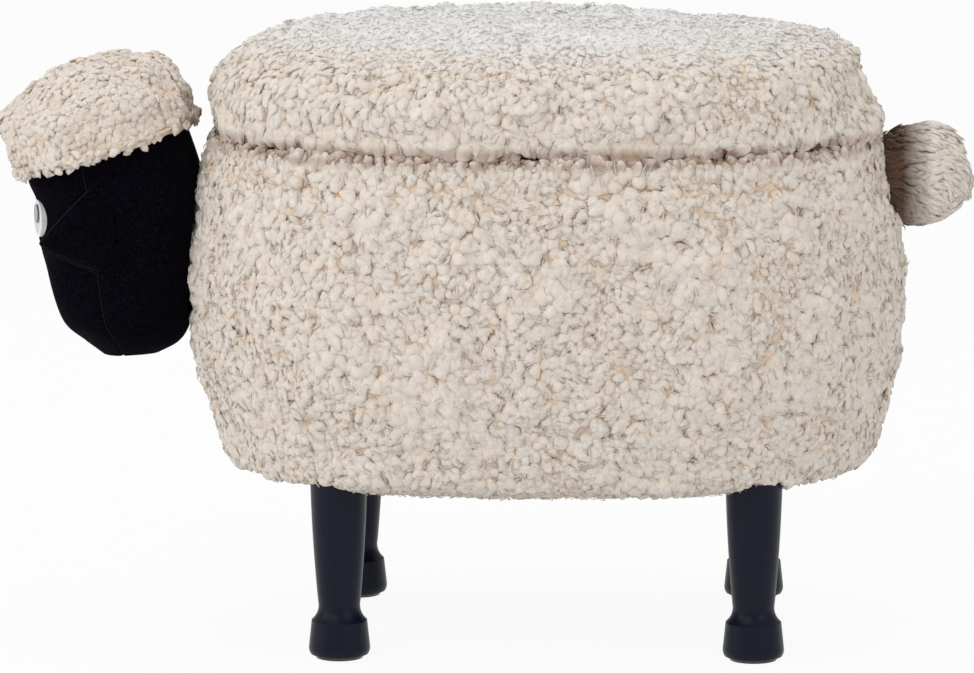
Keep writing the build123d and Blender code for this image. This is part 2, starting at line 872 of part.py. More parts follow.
with BuildPart() as head_nuts:
    with BuildSketch(Plane.YZ.offset(washer_seat_x + washer_thickness)):
        with Locations(*head_bolt_points):
            RegularPolygon(nut_width / 2, 6, major_radius=False)
            Circle(head_bolt_radius + running_clearance, mode=Mode.SUBTRACT)
    extrude(amount=nut_thickness)
head_nuts.part.label = "head_nuts"
export_step(head_nuts.part, "parts/head_nuts.step")

# Stuffing of the head, round the board and the bolts' heads
with BuildPart() as head_stuffing:
    add(head_filling(head_fabric_thickness + soft_clearance))
    with BuildSketch(Plane.YZ.offset(head_board_back_x + head_board_gap)):
        with Locations((0, head_board_centre_height)):
            RectangleRounded(
                head_board_width + 2 * soft_clearance,
                head_board_height + 2 * soft_clearance,
                head_board_corner,
            )
    extrude(
        amount=-head_board_thickness - head_board_gap - soft_clearance, mode=Mode.SUBTRACT
    )
    with BuildSketch(Plane.YZ.offset(head_board_front_x)):
        with Locations(*head_bolt_points):
            Circle(head_bolt_cap_radius + soft_clearance)
    extrude(amount=-head_bolt_cap_thickness - soft_clearance, mode=Mode.SUBTRACT)
    add(head_bolt_holes(), mode=Mode.SUBTRACT)
head_stuffing.part.label = "head_stuffing"
export_step(head_stuffing.part, "parts/head_stuffing.step")

# Fleece cap over the head, cut on a slope that rises towards the body
cap_slope = Plane(
    origin=(cap_front_x, 0, cap_base_height + cap_front_rise),
    z_dir=(cap_front_rise - cap_back_rise, 0, cap_length),
)
with BuildPart() as wool_cap:
    add(
        stuffed_form(
            cap_section_shares, cap_base_height, cap_height, cap_front_x, cap_length, cap_width, 0
        )
    )
    split(bisect_by=cap_slope, keep=Keep.TOP)
    add(head_form(-soft_clearance), mode=Mode.SUBTRACT)
    add(body_cutter(soft_clearance), mode=Mode.SUBTRACT)
wool_cap.part.label = "wool_cap"
export_step(wool_cap.part, "parts/wool_cap.step")

# Ears, eyes and pupils, the left ones at -Y
for side_name, side in (("left", -1), ("right", 1)):
    root = Vector(ear_root[0], side * ear_root[1], ear_root_height)
    tip = Vector(ear_tip[0], side * ear_tip[1], ear_tip_height)
    reach = tip - root
    with BuildPart() as ear:
        for along_share, height_share, thickness_share in ear_section_shares:
            ear_plane = Plane(
                origin=root + reach * along_share, x_dir=(reach.Y, -reach.X, 0), z_dir=reach
            )
            with BuildSketch(ear_plane):
                Ellipse(ear_half_thickness * thickness_share, ear_half_height * height_share)
        loft()
        add(head_form(-soft_clearance), mode=Mode.SUBTRACT)
    ear.part.label = f"ear_{side_name}"
    export_step(ear.part, f"parts/ear_{side_name}.step")

    eye_normal = (-cos(radians(eye_turn)), side * sin(radians(eye_turn)), 0)
    eye_plane = Plane(
        origin=(head_front_x + eye_setback, side * eye_spread, eye_height),
        x_dir=(0, 0, 1),
        z_dir=eye_normal,
    )
    with BuildPart() as eye:
        with BuildSketch(eye_plane.offset(-eye_sink)):
            Circle(eye_radius)
        extrude(amount=eye_sink + eye_proud)
        eye_face = eye.faces().sort_by(Axis(origin=(0, 0, 0), direction=eye_normal))[-1]
        fillet(eye_face.edges(), eye_edge_radius)
        add(head_form(-soft_clearance), mode=Mode.SUBTRACT)
    eye.part.label = f"eye_{side_name}"
    export_step(eye.part, f"parts/eye_{side_name}.step")

    with BuildPart() as pupil:
        with BuildSketch(eye_plane.offset(eye_proud)):
            with Locations((pupil_raise, 0)):
                Circle(pupil_radius)
        extrude(amount=pupil_thickness)
    pupil.part.label = f"pupil_{side_name}"
    export_step(pupil.part, f"parts/pupil_{side_name}.step")

# Tail: a stuffed ball of fleece against the body
tail_centre = (tail_tip_x - tail_half_length, 0, tail_height)
with BuildPart() as tail_cover:
    add(ellipsoid(tail_half_length, tail_half_width, tail_half_height, tail_centre))
    add(body_cutter(soft_clearance), mode=Mode.SUBTRACT)
    add(tail_filling(fleece_thickness), mode=Mode.SUBTRACT)
tail_cover.part.label = "tail_cover"
export_step(tail_cover.part, "parts/tail_cover.step")

with BuildPart() as tail_stuffing:
    add(tail_filling(fleece_thickness + soft_clearance))
tail_stuffing.part.label = "tail_stuffing"
export_step(tail_stuffing.part, "parts/tail_stuffing.step")
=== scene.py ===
"""A storage footstool in the shape of a sheep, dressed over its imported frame.

Lengths are in metres. +Z is up, the head is at -X and the tail at +X. The near side, at -Y, is the
sheep's left, and the lid is hinged along the +Y side.
"""
import json
import logging
import math
from collections.abc import Callable, Iterable
from dataclasses import dataclass
from enum import Enum
from typing import ClassVar

import bpy
import numpy as np
from mathutils import Matrix, Vector


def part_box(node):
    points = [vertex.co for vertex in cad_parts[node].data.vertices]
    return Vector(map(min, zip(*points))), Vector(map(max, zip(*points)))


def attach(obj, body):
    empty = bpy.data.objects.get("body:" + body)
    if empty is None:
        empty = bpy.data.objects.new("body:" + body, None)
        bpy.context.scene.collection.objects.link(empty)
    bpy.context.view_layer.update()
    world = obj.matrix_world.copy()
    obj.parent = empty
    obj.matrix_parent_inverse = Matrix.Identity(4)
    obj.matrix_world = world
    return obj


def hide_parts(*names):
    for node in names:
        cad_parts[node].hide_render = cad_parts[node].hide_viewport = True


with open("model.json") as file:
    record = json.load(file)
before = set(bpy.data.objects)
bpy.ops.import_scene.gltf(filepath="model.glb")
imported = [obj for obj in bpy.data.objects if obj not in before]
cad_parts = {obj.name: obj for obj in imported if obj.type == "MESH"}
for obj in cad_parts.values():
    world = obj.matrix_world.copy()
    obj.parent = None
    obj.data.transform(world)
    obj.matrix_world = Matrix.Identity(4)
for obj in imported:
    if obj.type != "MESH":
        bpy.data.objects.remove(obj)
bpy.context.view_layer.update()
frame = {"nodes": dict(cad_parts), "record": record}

LOG = logging.getLogger("footstool")
WOOL_SEED = 41
WOOL_SEEDS = {
    "body_wool": WOOL_SEED,
    "lid_wool": WOOL_SEED + 1,
    "cap_wool": WOOL_SEED + 2,
    "tail_wool": WOOL_SEED + 3,
    "body_wisps": WOOL_SEED + 5,
    "lid_wisps": WOOL_SEED + 6,
}
WAVE_SPREAD = (0.7, 1.5)
NUMBERED_INPUTS = {"first": 0, "second": 1}
TINY = 1e-12
MOST_FACES = 190_000

Array = np.ndarray


class Body(Enum):
    """The two bodies that the lid's hinge joins."""

    STOOL = "body"
    LID = "lid"


class Side(Enum):
    """The sheep's two sides, as the sign of Y."""

    LEFT = -1
    RIGHT = 1


class Slot(Enum):
    """The record's material slots."""

    FLEECE = "fleece"
    BLACK_CLOTH = "black_cloth"
    LINING_CLOTH = "lining_cloth"


# Shapes that the pieces are built from


def unit(rows: Array) -> Array:
    """Rows of numbers, each drawn to a length of one."""
    return rows / np.maximum(np.linalg.norm(rows, axis=-1, keepdims=True), TINY)


def arc_through(start: tuple, middle: tuple, end: tuple, count: int) -> list[tuple]:
    """Points along the arc through three points in a plane.

    Args:
        start: The first point.
        middle: A point that the arc passes.
        end: The last point.
        count: The number of points.

    Returns:
        The points, both ends among them.
    """
    (ax, ay), (bx, by), (cx, cy) = start, middle, end
    across = 2 * (ax * (by - cy) + bx * (cy - ay) + cx * (ay - by))
    a, b, c = ax * ax + ay * ay, bx * bx + by * by, cx * cx + cy * cy
    centre_x = (a * (by - cy) + b * (cy - ay) + c * (ay - by)) / across
    centre_y = (a * (cx - bx) + b * (ax - cx) + c * (bx - ax)) / across
    radius = math.hypot(ax - centre_x, ay - centre_y)
    first = math.atan2(ay - centre_y, ax - centre_x)
    turn = math.atan2(cy - centre_y, cx - centre_x) - first
    passed = math.atan2(by - centre_y, bx - centre_x) - first
    turn, passed = turn % math.tau, passed % math.tau
    if passed > turn:
        turn -= math.tau
    angles = first + turn * np.linspace(0, 1, count)
    return [(centre_x + radius * math.cos(t), centre_y + radius * math.sin(t)) for t in angles]


def smooth_through(values: Iterable, shares: Array) -> Array:
    """Reads a smooth curve through rows of numbers.

    Args:
        values: The rows that the curve passes, evenly spaced in its share.
        shares: Where to read it, from 0 to 1.

    Returns:
        One row of numbers for each share.
    """
    rows = np.asarray(values, float)
    padded = np.vstack([2 * rows[0] - rows[1], rows, 2 * rows[-1] - rows[-2]])
    place = np.clip(shares, 0, 1) * (len(rows) - 1)
    index = np.minimum(place.astype(int), len(rows) - 2)
    t = (place - index)[:, None]
    p0, p1, p2, p3 = (padded[index + k] for k in range(4))
    return 0.5 * (
        2 * p1
        + (p2 - p0) * t
        + (2 * p0 - 5 * p1 + 4 * p2 - p3) * t**2
        + (3 * p1 - p0 - 3 * p2 + p3) * t**3
    )


@dataclass(frozen=True)
class Swelling:
    """Soft random swellings.

    Attributes:
        height: The usual size of one.
        wavelength: The usual distance between them.
        seed: The random seed.
        waves: The number of waves that are added up.
    """

    height: float
    wavelength: float
    seed: int
    waves: int = 14

    def at(self, points: Array) -> Array:
        """One number for each point, about zero.

        Args:
            points: The points, one a row.

        Returns:
            How far each is raised.
        """
        random = np.random.default_rng(self.seed)
        directions = unit(random.normal(size=(self.waves, 3)))
        pitches = math.tau / (self.wavelength * random.uniform(*WAVE_SPREAD, self.waves))
        phases = random.uniform(0, math.tau, self.waves)
        angles = points @ (directions * pitches[:, None]).T + phases
        return self.height * np.sin(angles).sum(axis=1) * math.sqrt(2 / self.waves)


@dataclass(frozen=True)
class Oval:
    """The stool's plan, four tangent arcs, measured to the outer face of its wall."""

    centre_x: float
    half_length: float
    half_depth: float
    end_radius: float = 0.1290

    @property
    def end_centre(self) -> float:
        """How far an end arc's centre is from the middle."""
        return self.half_length - self.end_radius

    @property
    def side_radius(self) -> float:
        """The radius of the long side arcs."""
        gap = self.half_depth - self.end_radius
        return (self.end_centre**2 + self.half_depth**2 - self.end_radius**2) / (2 * gap)

    def points(self, shares: Array, outset: Array | float) -> tuple[Array, Array]:
        """Finds points along the plan's line.

        Args:
            shares: How far round, from 0 to 1.
            outset: The distance outside the wall, for each point or for all.

        Returns:
            The points and the outward normals, as two columns each.
        """
        side_centre = self.side_radius - self.half_depth
        join = math.atan2(self.end_centre, side_centre)
        quarter = math.pi / 2
        stops = np.array([-quarter + join, quarter - join, quarter + join])
        stops = np.concatenate([stops, [3 * quarter - join, 3 * quarter + join]])
        radii = np.array([self.end_radius, self.side_radius] * 2)
        lengths = np.concatenate([[0], np.cumsum(np.diff(stops) * radii)])
        angle = np.interp(np.asarray(shares) % 1, lengths / lengths[-1], stops)
        region = np.clip(np.searchsorted(stops, angle, side="right") - 1, 0, 3)
        centres = np.array(
            [(self.end_centre, 0), (0, -side_centre), (-self.end_centre, 0), (0, side_centre)]
        )
        normals = np.stack([np.cos(angle), np.sin(angle)], axis=1)
        reach = (radii[region] + outset)[:, None]
        return centres[region] + reach * normals + (self.centre_x, 0), normals


@dataclass
class Surface:
    """A grid of points with its faces, open or closed each way."""

    points: Array
    faces: Array

    @classmethod
    def grid(cls, rows: Array, close_rows: bool = False) -> "Surface":
        """Makes a surface from rows of points that are closed round.

        Args:
            rows: The points, as rows by columns by 3.
            close_rows: Whether the last row joins the first.

        Returns:
            The surface, its faces' front to the side where the columns turn leftwards.
        """
        height, width = rows.shape[:2]
        steps = np.arange(height if close_rows else height - 1)
        low = (steps[:, None] * width + np.arange(width)).ravel()
        low_next = (steps[:, None] * width + (np.arange(width) + 1) % width).ravel()
        high = (low + width) % (height * width)
        high_next = (low_next + width) % (height * width)
        return cls(rows.reshape(-1, 3), np.stack([low, low_next, high_next, high], axis=1))

    def spans(self) -> Array:
        """One outward normal for each face, twice as long as the face is large."""
        corners = self.points[self.faces]
        return np.cross(corners[:, 2] - corners[:, 0], corners[:, 3] - corners[:, 1])

    def normals(self) -> Array:
        """Finds the surface's direction at its points.

        Returns:
            One outward unit normal for each point.
        """
        found, spans = np.zeros_like(self.points), self.spans()
        for corner in self.faces.T:
            np.add.at(found, corner, spans)
        return unit(found)

    def part(self, keep: Callable[[Array], Array]) -> "Surface":
        """The faces whose middle points pass a test."""
        middles = self.points[self.faces].mean(axis=1)
        return Surface(self.points, self.faces[keep(middles)])

    def swollen(self, swellings: Iterable[Swelling], share: Array | float = 1.0) -> "Surface":
        """The surface with soft lumps along its normals.

        Args:
            swellings: The lumps, one kind after another.
            share: How much of them each point takes.

        Returns:
            The new surface.
        """
        surface = self
        for swelling in swellings:
            moved = (swelling.at(surface.points) * share)[:, None] * surface.normals()
            surface = Surface(surface.points + moved, surface.faces)
        return surface


def add_mesh(name: str, points: Array, face_sets: list[Array], smooth: bool = True) -> bpy.types.Object:
    """Makes a mesh object from arrays.

    Args:
        name: The object's name.
        points: The points, one a row.
        face_sets: Arrays of faces, each with the same number of corners in all its rows.
        smooth: Whether the faces are shaded smooth.

    Returns:
        The object, linked to the scene.
    """
    mesh = bpy.data.meshes.new(name)
    corners = np.concatenate([faces.ravel() for faces in face_sets]).astype(np.int32)
    sizes = np.concatenate([np.full(len(faces), faces.shape[1]) for faces in face_sets])
    mesh.vertices.add(len(points))
    mesh.vertices.foreach_set("co", np.asarray(points, np.float32).ravel())
    mesh.loops.add(len(corners))
    mesh.loops.foreach_set("vertex_index", corners)
    mesh.polygons.add(len(sizes))
    starts = np.concatenate([[0], np.cumsum(sizes)[:-1]]).astype(np.int32)
    mesh.polygons.foreach_set("loop_start", starts)
    mesh.update(calc_edges=True)
    mesh.validate()
    mesh.polygons.foreach_set("use_smooth", np.full(len(sizes), smooth))
    made = bpy.data.objects.new(name, mesh)
    bpy.context.scene.collection.objects.link(made)
    return made


def settle(
    piece: bpy.types.Object,
    material: bpy.types.Material,
    body: Body,
    slot: Slot,
    stands_for: Iterable[str] = (),
) -> bpy.types.Object:
    """Gives a new piece its finish and its body, and hides the CAD nodes it stands for.

    Args:
        piece: The piece, in place.
        material: Its finish.
        body: The body it rides on.
        slot: The record's slot of its finish; not used.
        stands_for: The nodes that it replaces.

    Returns:
        The same piece.
    """
    piece.data.materials.clear()
    piece.data.materials.append(material)
    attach(piece, body.value)
    if stands_for:
        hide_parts(*stands_for)
    LOG.info("%s: %d faces on %s", piece.name, len(piece.data.polygons), body.value)
    return piece


# Finishes


class Nodes:
    """A tree of shader nodes, with one short call that adds a node and joins it."""

    def __init__(self, tree: bpy.types.NodeTree) -> None:
        """Keeps the tree."""
        self.tree = tree

    def add(self, kind: str, **values: object) -> bpy.types.Node:
        """Adds a node, sets its properties, and sets or joins its inputs.

        Args:
            kind: The node's type, without the word ShaderNode before it.
            **values: Values, nodes or outputs, by property name or by input name with _ for a
                space. The names first and second stand for inputs by number.

        Returns:
            The node.
        """
        node = self.tree.nodes.new(f"ShaderNode{kind}")
        for key, value in values.items():
            if hasattr(node, key):
                setattr(node, key, value)
            else:
                self.give(node.inputs[NUMBERED_INPUTS.get(key, key.replace("_", " "))], value)
        return node

    def give(self, socket: bpy.types.NodeSocket, value: object) -> None:
        """Sets an input to a value, or joins an output or a node's first output to it.

        Args:
            socket: The input.
            value: A number, a colour, a vector, an output or a node.
        """
        if isinstance(value, bpy.types.Node):
            value = next(output for output in value.outputs if output.enabled)
        if isinstance(value, bpy.types.NodeSocket):
            self.tree.links.new(value, socket)
        else:
            socket.default_value = value


class Shader(Nodes):
    """A material's nodes, which end in a Principled shader."""

    def __init__(self, name: str, **values: object) -> None:
        """Makes the material, with constants on the shader's own sockets.

        Args:
            name: The material's name.
            **values: The constants, by the socket's name with _ for a space.
        """
        self.material = bpy.data.materials.new(name)
        self.material.use_nodes = True
        super().__init__(self.material.node_tree)
        self.surface = self.tree.nodes["Principled BSDF"]
        self.finish(**values)

    def finish(self, **values: object) -> bpy.types.Material:
        """Sets or joins the shader's own sockets.

        Args:
            **values: Values, nodes or outputs, by the socket's name with _ for a space.

        Returns:
            The material.
        """
        for key, value in values.items():
            self.give(self.surface.inputs[key.replace("_", " ")], value)
        return self.material


def new_group(name: str, inputs: dict[str, tuple], outputs: dict[str, str]) -> tuple:
    """Starts a shader node group.

    Args:
        name: The group's name.
        inputs: The type and default value of each input.
        outputs: The type of each output.

    Returns:
        The tree, its input node and its output node.
    """
    tree = bpy.data.node_groups.new(name, "ShaderNodeTree")
    for label, (kind, default) in inputs.items():
        socket = tree.interface.new_socket(label, in_out="INPUT", socket_type=kind)
        socket.default_value = default
    for label, kind in outputs.items():
        tree.interface.new_socket(label, in_out="OUTPUT", socket_type=kind)
    return tree, tree.nodes.new("NodeGroupInput"), tree.nodes.new("NodeGroupOutput")


def mottle_group(detail: float = 4.0) -> bpy.types.NodeTree:
    """Makes the group that mixes two colours by soft noise in the object's own space.

    Args:
        detail: How fine the noise is.

    Returns:
        The group's tree.
    """
    colour, number = "NodeSocketColor", "NodeSocketFloat"
    tree, given, result = new_group(
        "mottle",
        {
            "First": (colour, (1, 1, 1, 1)),
            "Second": (colour, (0, 0, 0, 1)),
            "Scale": (number, 40.0),
            "Low": (number, 0.35),
            "High": (number, 0.65),
        },
        {"Colour": colour, "Mask": number},
    )
    nodes = Nodes(tree)
    noise = nodes.add(
        "TexNoise",
        Vector=nodes.add("TexCoord").outputs["Object"],
        Scale=given.outputs["Scale"],
        Detail=detail,
    )
    spread = nodes.add(
        "MapRange", Value=noise, From_Min=given.outputs["Low"], From_Max=given.outputs["High"]
    )
    first, second = given.outputs["First"], given.outputs["Second"]
    mix = nodes.add("Mix", data_type="RGBA", Factor=spread, A=first, B=second)
    nodes.give(result.inputs["Colour"], mix)
    nodes.give(result.inputs["Mask"], spread)
    return tree


MOTTLE = mottle_group()


@dataclass(frozen=True)
class WoolFinish:
    """Curly wool, a little browner at its roots and brown in one band, such as a seam, both as painted
    shade, and paler high up as painted light.

    Attributes:
        name: The material's name.
        tip: The wool's usual colour.
        warm: Its colour in some patches.
        root: The colour that the roots turn to, browner than the tips: painted shade in the crevices
            between locks.
        root_shade_reach: How far up a lock the roots' colour goes, as a share of its length.
        deep: The brown of the band, painted shade.
        band_axis: The axis that the band is measured along.
        band_middle: The band's middle along that axis.
        band_half: Half its breadth.
        painted_top_light: The colour of the wool high up, painted light on the lid's top.
        top_light_from: The height where that colour starts.
        top_light_to: The height from which it is full.
        fibre_pitch: How many fibres cross the map of the locks.
        fibre_stretch: How much longer than broad a fibre is.
        fibre_depth: How deep their relief is.
        fibre_strength: How much of that relief shows.
        fibre_detail: How fine the noise of the fibres is.
        fibre_range: The noise of their hollows and of their tops.
        fibre_shades: The share of the light that hollows and tops keep.
        band_reach: Where along a lock the band's brown starts and is full.
        band_core: The share of the band's half where the brown is full.
        patch_scale: How small the patches of the warm colour are.
        tones: The darkest and the lightest lock's share of the colour.
        sheen: How much soft sheen the wool has.
        sheen_roughness: How soft that is.
        specular: How much the wool shines.
    """

    name: str
    tip: tuple = (0.860, 0.795, 0.725, 1)
    warm: tuple = (0.842, 0.750, 0.655, 1)
    # painted shade: the browner root colour darkens the crevices between locks and the padding under
    # them
    root: tuple = (0.865, 0.705, 0.555, 1)
    root_shade_reach: float = 0.45
    # painted shade: the band's brown darkens the wool where parts meet
    deep: tuple = (0.42, 0.28, 0.20, 1)
    band_axis: str = "Z"
    band_middle: float = 0.0
    band_half: float = 0.001
    # painted light: the lid's top is paler, as if lit from above
    painted_top_light: tuple = (0.90, 0.88, 0.86, 1)
    top_light_from: float = 0.374
    top_light_to: float = 0.392
    fibre_pitch: float = 620.0
    fibre_stretch: float = 3.2
    fibre_depth: float = 0.0011
    fibre_strength: float = 0.8
    fibre_detail: float = 2.0
    fibre_range: tuple = (0.30, 0.65)
    fibre_shades: tuple = (0.92, 1.04)
    band_reach: tuple = (0.9, 0.35)
    band_core: float = 1 / 3
    patch_scale: float = 75.0
    tones: tuple = (0.94, 1.03)
    sheen: float = 0.25
    sheen_roughness: float = 0.5
    specular: float = 0.03

    def make(self) -> bpy.types.Material:
        """Builds the material.

        Returns:
            The material.
        """
        shader = Shader(
            self.name,
            Roughness=1.0,
            Sheen_Weight=self.sheen,
            Sheen_Roughness=self.sheen_roughness,
            Specular_IOR_Level=self.specular,
        )
        lock = shader.add("SeparateXYZ", Vector=shader.add("UVMap", uv_map="Lock"))
        where = shader.add("SeparateXYZ", Vector=shader.add("TexCoord").outputs["Object"])
        toned = self._lock_colour(shader, lock)
        # painted light on the lid's top: the wool turns paler high up
        height = shader.add(
            "MapRange", Value=where.outputs["Z"], From_Min=self.top_light_from, From_Max=self.top_light_to
        )
        high = shader.add("Mix", data_type="RGBA", Factor=height, A=toned, B=self.painted_top_light)
        # painted shade, brown, in the band where parts meet, strongest low on each lock
        shade_amount = self._painted_shade_band(shader, lock, where)
        brown = shader.add("Mix", data_type="RGBA", Factor=shade_amount, A=high, B=self.deep)
        drawn_out = shader.add(
            "VectorMath",
            operation="MULTIPLY",
            first=shader.add("UVMap", uv_map="OFBake"),
            second=(1.0, 1.0 / self.fibre_stretch, 1.0),
        )
        fibres = shader.add(
            "TexNoise", Vector=drawn_out, Scale=self.fibre_pitch, Detail=self.fibre_detail
        )
        bump = shader.add(
            "Bump", Strength=self.fibre_strength, Distance=self.fibre_depth, Height=fibres
        )
        hollow, top = self.fibre_range
        dark, light = self.fibre_shades
        shade = shader.add(
            "MapRange", Value=fibres, From_Min=hollow, From_Max=top, To_Min=dark, To_Max=light
        )
        shaded = shader.add("VectorMath", operation="SCALE", Vector=brown, Scale=shade)
        return shader.finish(Base_Color=shaded, Normal=bump)

    def _lock_colour(self, shader: Shader, lock: bpy.types.Node) -> bpy.types.Node:
        """The colour along a lock, from the painted shade at its root to its tip, in the lock's own
        tone.

        Args:
            shader: The material's nodes.
            lock: The node that splits the map of the locks.

        Returns:
            The node that puts the colour out.
        """
        patches = shader.add(
            "Group", node_tree=MOTTLE, First=self.tip, Second=self.warm, Scale=self.patch_scale
        )
        along = shader.add(
            "MapRange",
            interpolation_type="SMOOTHSTEP",
            Value=lock.outputs["Y"],
            From_Max=self.root_shade_reach,
        )
        # painted shade in the crevices: each lock turns browner towards its root
        root_shaded = shader.add("Mix", data_type="RGBA", Factor=along, A=self.root, B=patches)
        darkest, lightest = self.tones
        tone = shader.add("MapRange", Value=lock.outputs["X"], To_Min=darkest, To_Max=lightest)
        return shader.add("VectorMath", operation="SCALE", Vector=root_shaded, Scale=tone)

    def _painted_shade_band(self, shader: Shader, lock: bpy.types.Node, where: bpy.types.Node) -> bpy.types.Node:
        """How much of the band's painted shade, brown, the wool takes, near the band's middle and low
        down on each lock.

        Args:
            shader: The material's nodes.
            lock: The node that splits the map of the locks.
            where: The node that splits the place in the object's own space.

        Returns:
            The node that puts the share of painted shade out.
        """
        off = shader.add(
            "Math",
            operation="SUBTRACT",
            first=where.outputs[self.band_axis],
            second=self.band_middle,
        )
        away = shader.add("Math", operation="ABSOLUTE", first=off)
        near = shader.add(
            "MapRange",
            Value=away,
            From_Min=self.band_half,
            From_Max=self.band_half * self.band_core,
        )
        start, full = self.band_reach
        low_down = shader.add("MapRange", Value=lock.outputs["Y"], From_Min=start, From_Max=full)
        return shader.add("Math", operation="MULTIPLY", first=near, second=low_down)


@dataclass(frozen=True)
class ClothFinish:
    """Cloth with a fine thread that shows as a faint grain."""

    name: str
    first: tuple
    second: tuple
    grain: float = 1500.0
    depth: float = 0.0003
    relief: float = 0.5
    roughness: float = 0.95
    sheen: float = 0.15
    specular: float = 0.15

    def make(self) -> bpy.types.Material:
        """Builds the material.

        Returns:
            The material.
        """
        shader = Shader(
            self.name,
            Roughness=self.roughness,
            Sheen_Weight=self.sheen,
            Specular_IOR_Level=self.specular,
        )
        weave = shader.add(
            "Group", node_tree=MOTTLE, First=self.first, Second=self.second, Scale=self.grain
        )
        bump = shader.add(
            "Bump", Strength=self.relief, Distance=self.depth, Height=weave.outputs["Mask"]
        )
        return shader.finish(Base_Color=weave, Normal=bump)


@dataclass(frozen=True)
class WoodFinish:
    """Wood with a grain along one axis, raw or under paint."""

    name: str
    light: tuple
    dark: tuple
    stretch: tuple = (6.0, 60.0, 60.0)
    grain: float = 3.0
    detail: float = 6.0
    distortion: float = 0.6
    roughness: float = 0.6
    specular: float = 0.5

    def make(self) -> bpy.types.Material:
        """Builds the material.

        Returns:
            The material.
        """
        shader = Shader(self.name, Roughness=self.roughness, Specular_IOR_Level=self.specular)
        place = shader.add("TexCoord").outputs["Object"]
        along = shader.add("Mapping", Vector=place, Scale=self.stretch)
        grain = shader.add(
            "TexNoise",
            Vector=along,
            Scale=self.grain,
            Detail=self.detail,
            Distortion=self.distortion,
        )
        mix = shader.add("Mix", data_type="RGBA", Factor=grain, A=self.dark, B=self.light)
        return shader.finish(Base_Color=mix)


@dataclass(frozen=True)
class PlainFinish:
    """A smooth finish of metal or plastic, with a faint change of tone."""

    name: str
    first: tuple
    second: tuple
    patch_scale: float = 90.0
    metallic: float = 0.0
    roughness: float = 0.35
    coat: float = 0.0

    def make(self) -> bpy.types.Material:
        """Builds the material.

        Returns:
            The material.
        """
        shader = Shader(
            self.name, Metallic=self.metallic, Roughness=self.roughness, Coat_Weight=self.coat
        )
        tone = shader.add(
            "Group", node_tree=MOTTLE, First=self.first, Second=self.second, Scale=self.patch_scale
        )
        return shader.finish(Base_Color=tone)


@dataclass(frozen=True)
class EyeFinish:
    """White plastic with painted shade, grey, in its middle inside a plain rim.

    Attributes:
        name: The material's name.
        centre: The middle of the eye's face on the +Y side.
        inner: Where the painted shade ends, as a distance from there.
        rim: Where the rim is fully white.
        grey: The colour of the painted shade in the middle.
        white: The colour of the rim.
        roughness: How dull the plastic is.
        coat: How much gloss is on it.
    """

    name: str
    centre: tuple = (-0.2866, 0.0246, 0.2690)
    inner: float = 0.0092
    rim: float = 0.0100
    grey: tuple = (0.52, 0.55, 0.58, 1)
    white: tuple = (0.86, 0.86, 0.86, 1)
    roughness: float = 0.25
    coat: float = 0.3

    def make(self) -> bpy.types.Material:
        """Builds the material.

        Returns:
            The material.
        """
        shader = Shader(self.name, Roughness=self.roughness, Coat_Weight=self.coat)
        place = shader.add("TexCoord").outputs["Object"]
        folded = shader.add("VectorMath", operation="MULTIPLY", first=place, second=(1, -1, 1))
        nearest = shader.add("VectorMath", operation="MAXIMUM", first=place, second=folded)
        away = shader.add("VectorMath", operation="DISTANCE", first=nearest, second=self.centre)
        ring = shader.add("MapRange", Value=away, From_Min=self.inner, From_Max=self.rim)
        # painted shade: the eye's middle is grey, and the rim keeps the plastic's white
        mix = shader.add("Mix", data_type="RGBA", Factor=ring, A=self.grey, B=self.white)
        return shader.finish(Base_Color=mix)


# Wool


@dataclass(frozen=True)
class LockStyle:
    """The shape and the lie of one kind of lock, a drop-shaped curl.

    Attributes:
        length: How long a lock is.
        width: How wide its broadest part is.
        flatness: Its depth as a share of its width.
        lift: How high its middle arches off the cloth.
        sink: How deep its root is in the cloth.
        spacing: The least distance between roots.
        wander: How much each lock turns away from its neighbours.
        flow: How much tufts of locks turn together.
        tuft: The usual distance between such tufts.
        sides: The number of a lock's sides.
        roughness: How uneven its sides are.
        spreads: The least and greatest share of the length, the width and the lift.
        curl: How far a lock bends aside, as a share of its length.
        twists: How far the lobes turn along a lock, in radians.
        lobes: The number of lobes round it.
        lobe_depth: Their depth as a share of the width.
    """

    length: float = 0.0084
    width: float = 0.0074
    flatness: float = 0.46
    lift: float = 0.0016
    sink: float = 0.0008
    spacing: float = 0.0028
    wander: float = 0.8
    flow: float = 0.35
    tuft: float = 0.030
    sides: int = 6
    roughness: float = 0.14
    spreads: tuple = ((0.75, 1.3), (0.75, 1.25), (0.6, 1.35))
    curl: float = 0.28
    twists: tuple = (2.0, 5.0)
    lobes: int = 3
    lobe_depth: float = 0.17


WISPS = LockStyle(
    length=0.0080,
    width=0.0014,
    flatness=0.7,
    lift=0.0020,
    sink=-0.0006,
    spacing=0.0056,
    wander=1.0,
    sides=3,
)


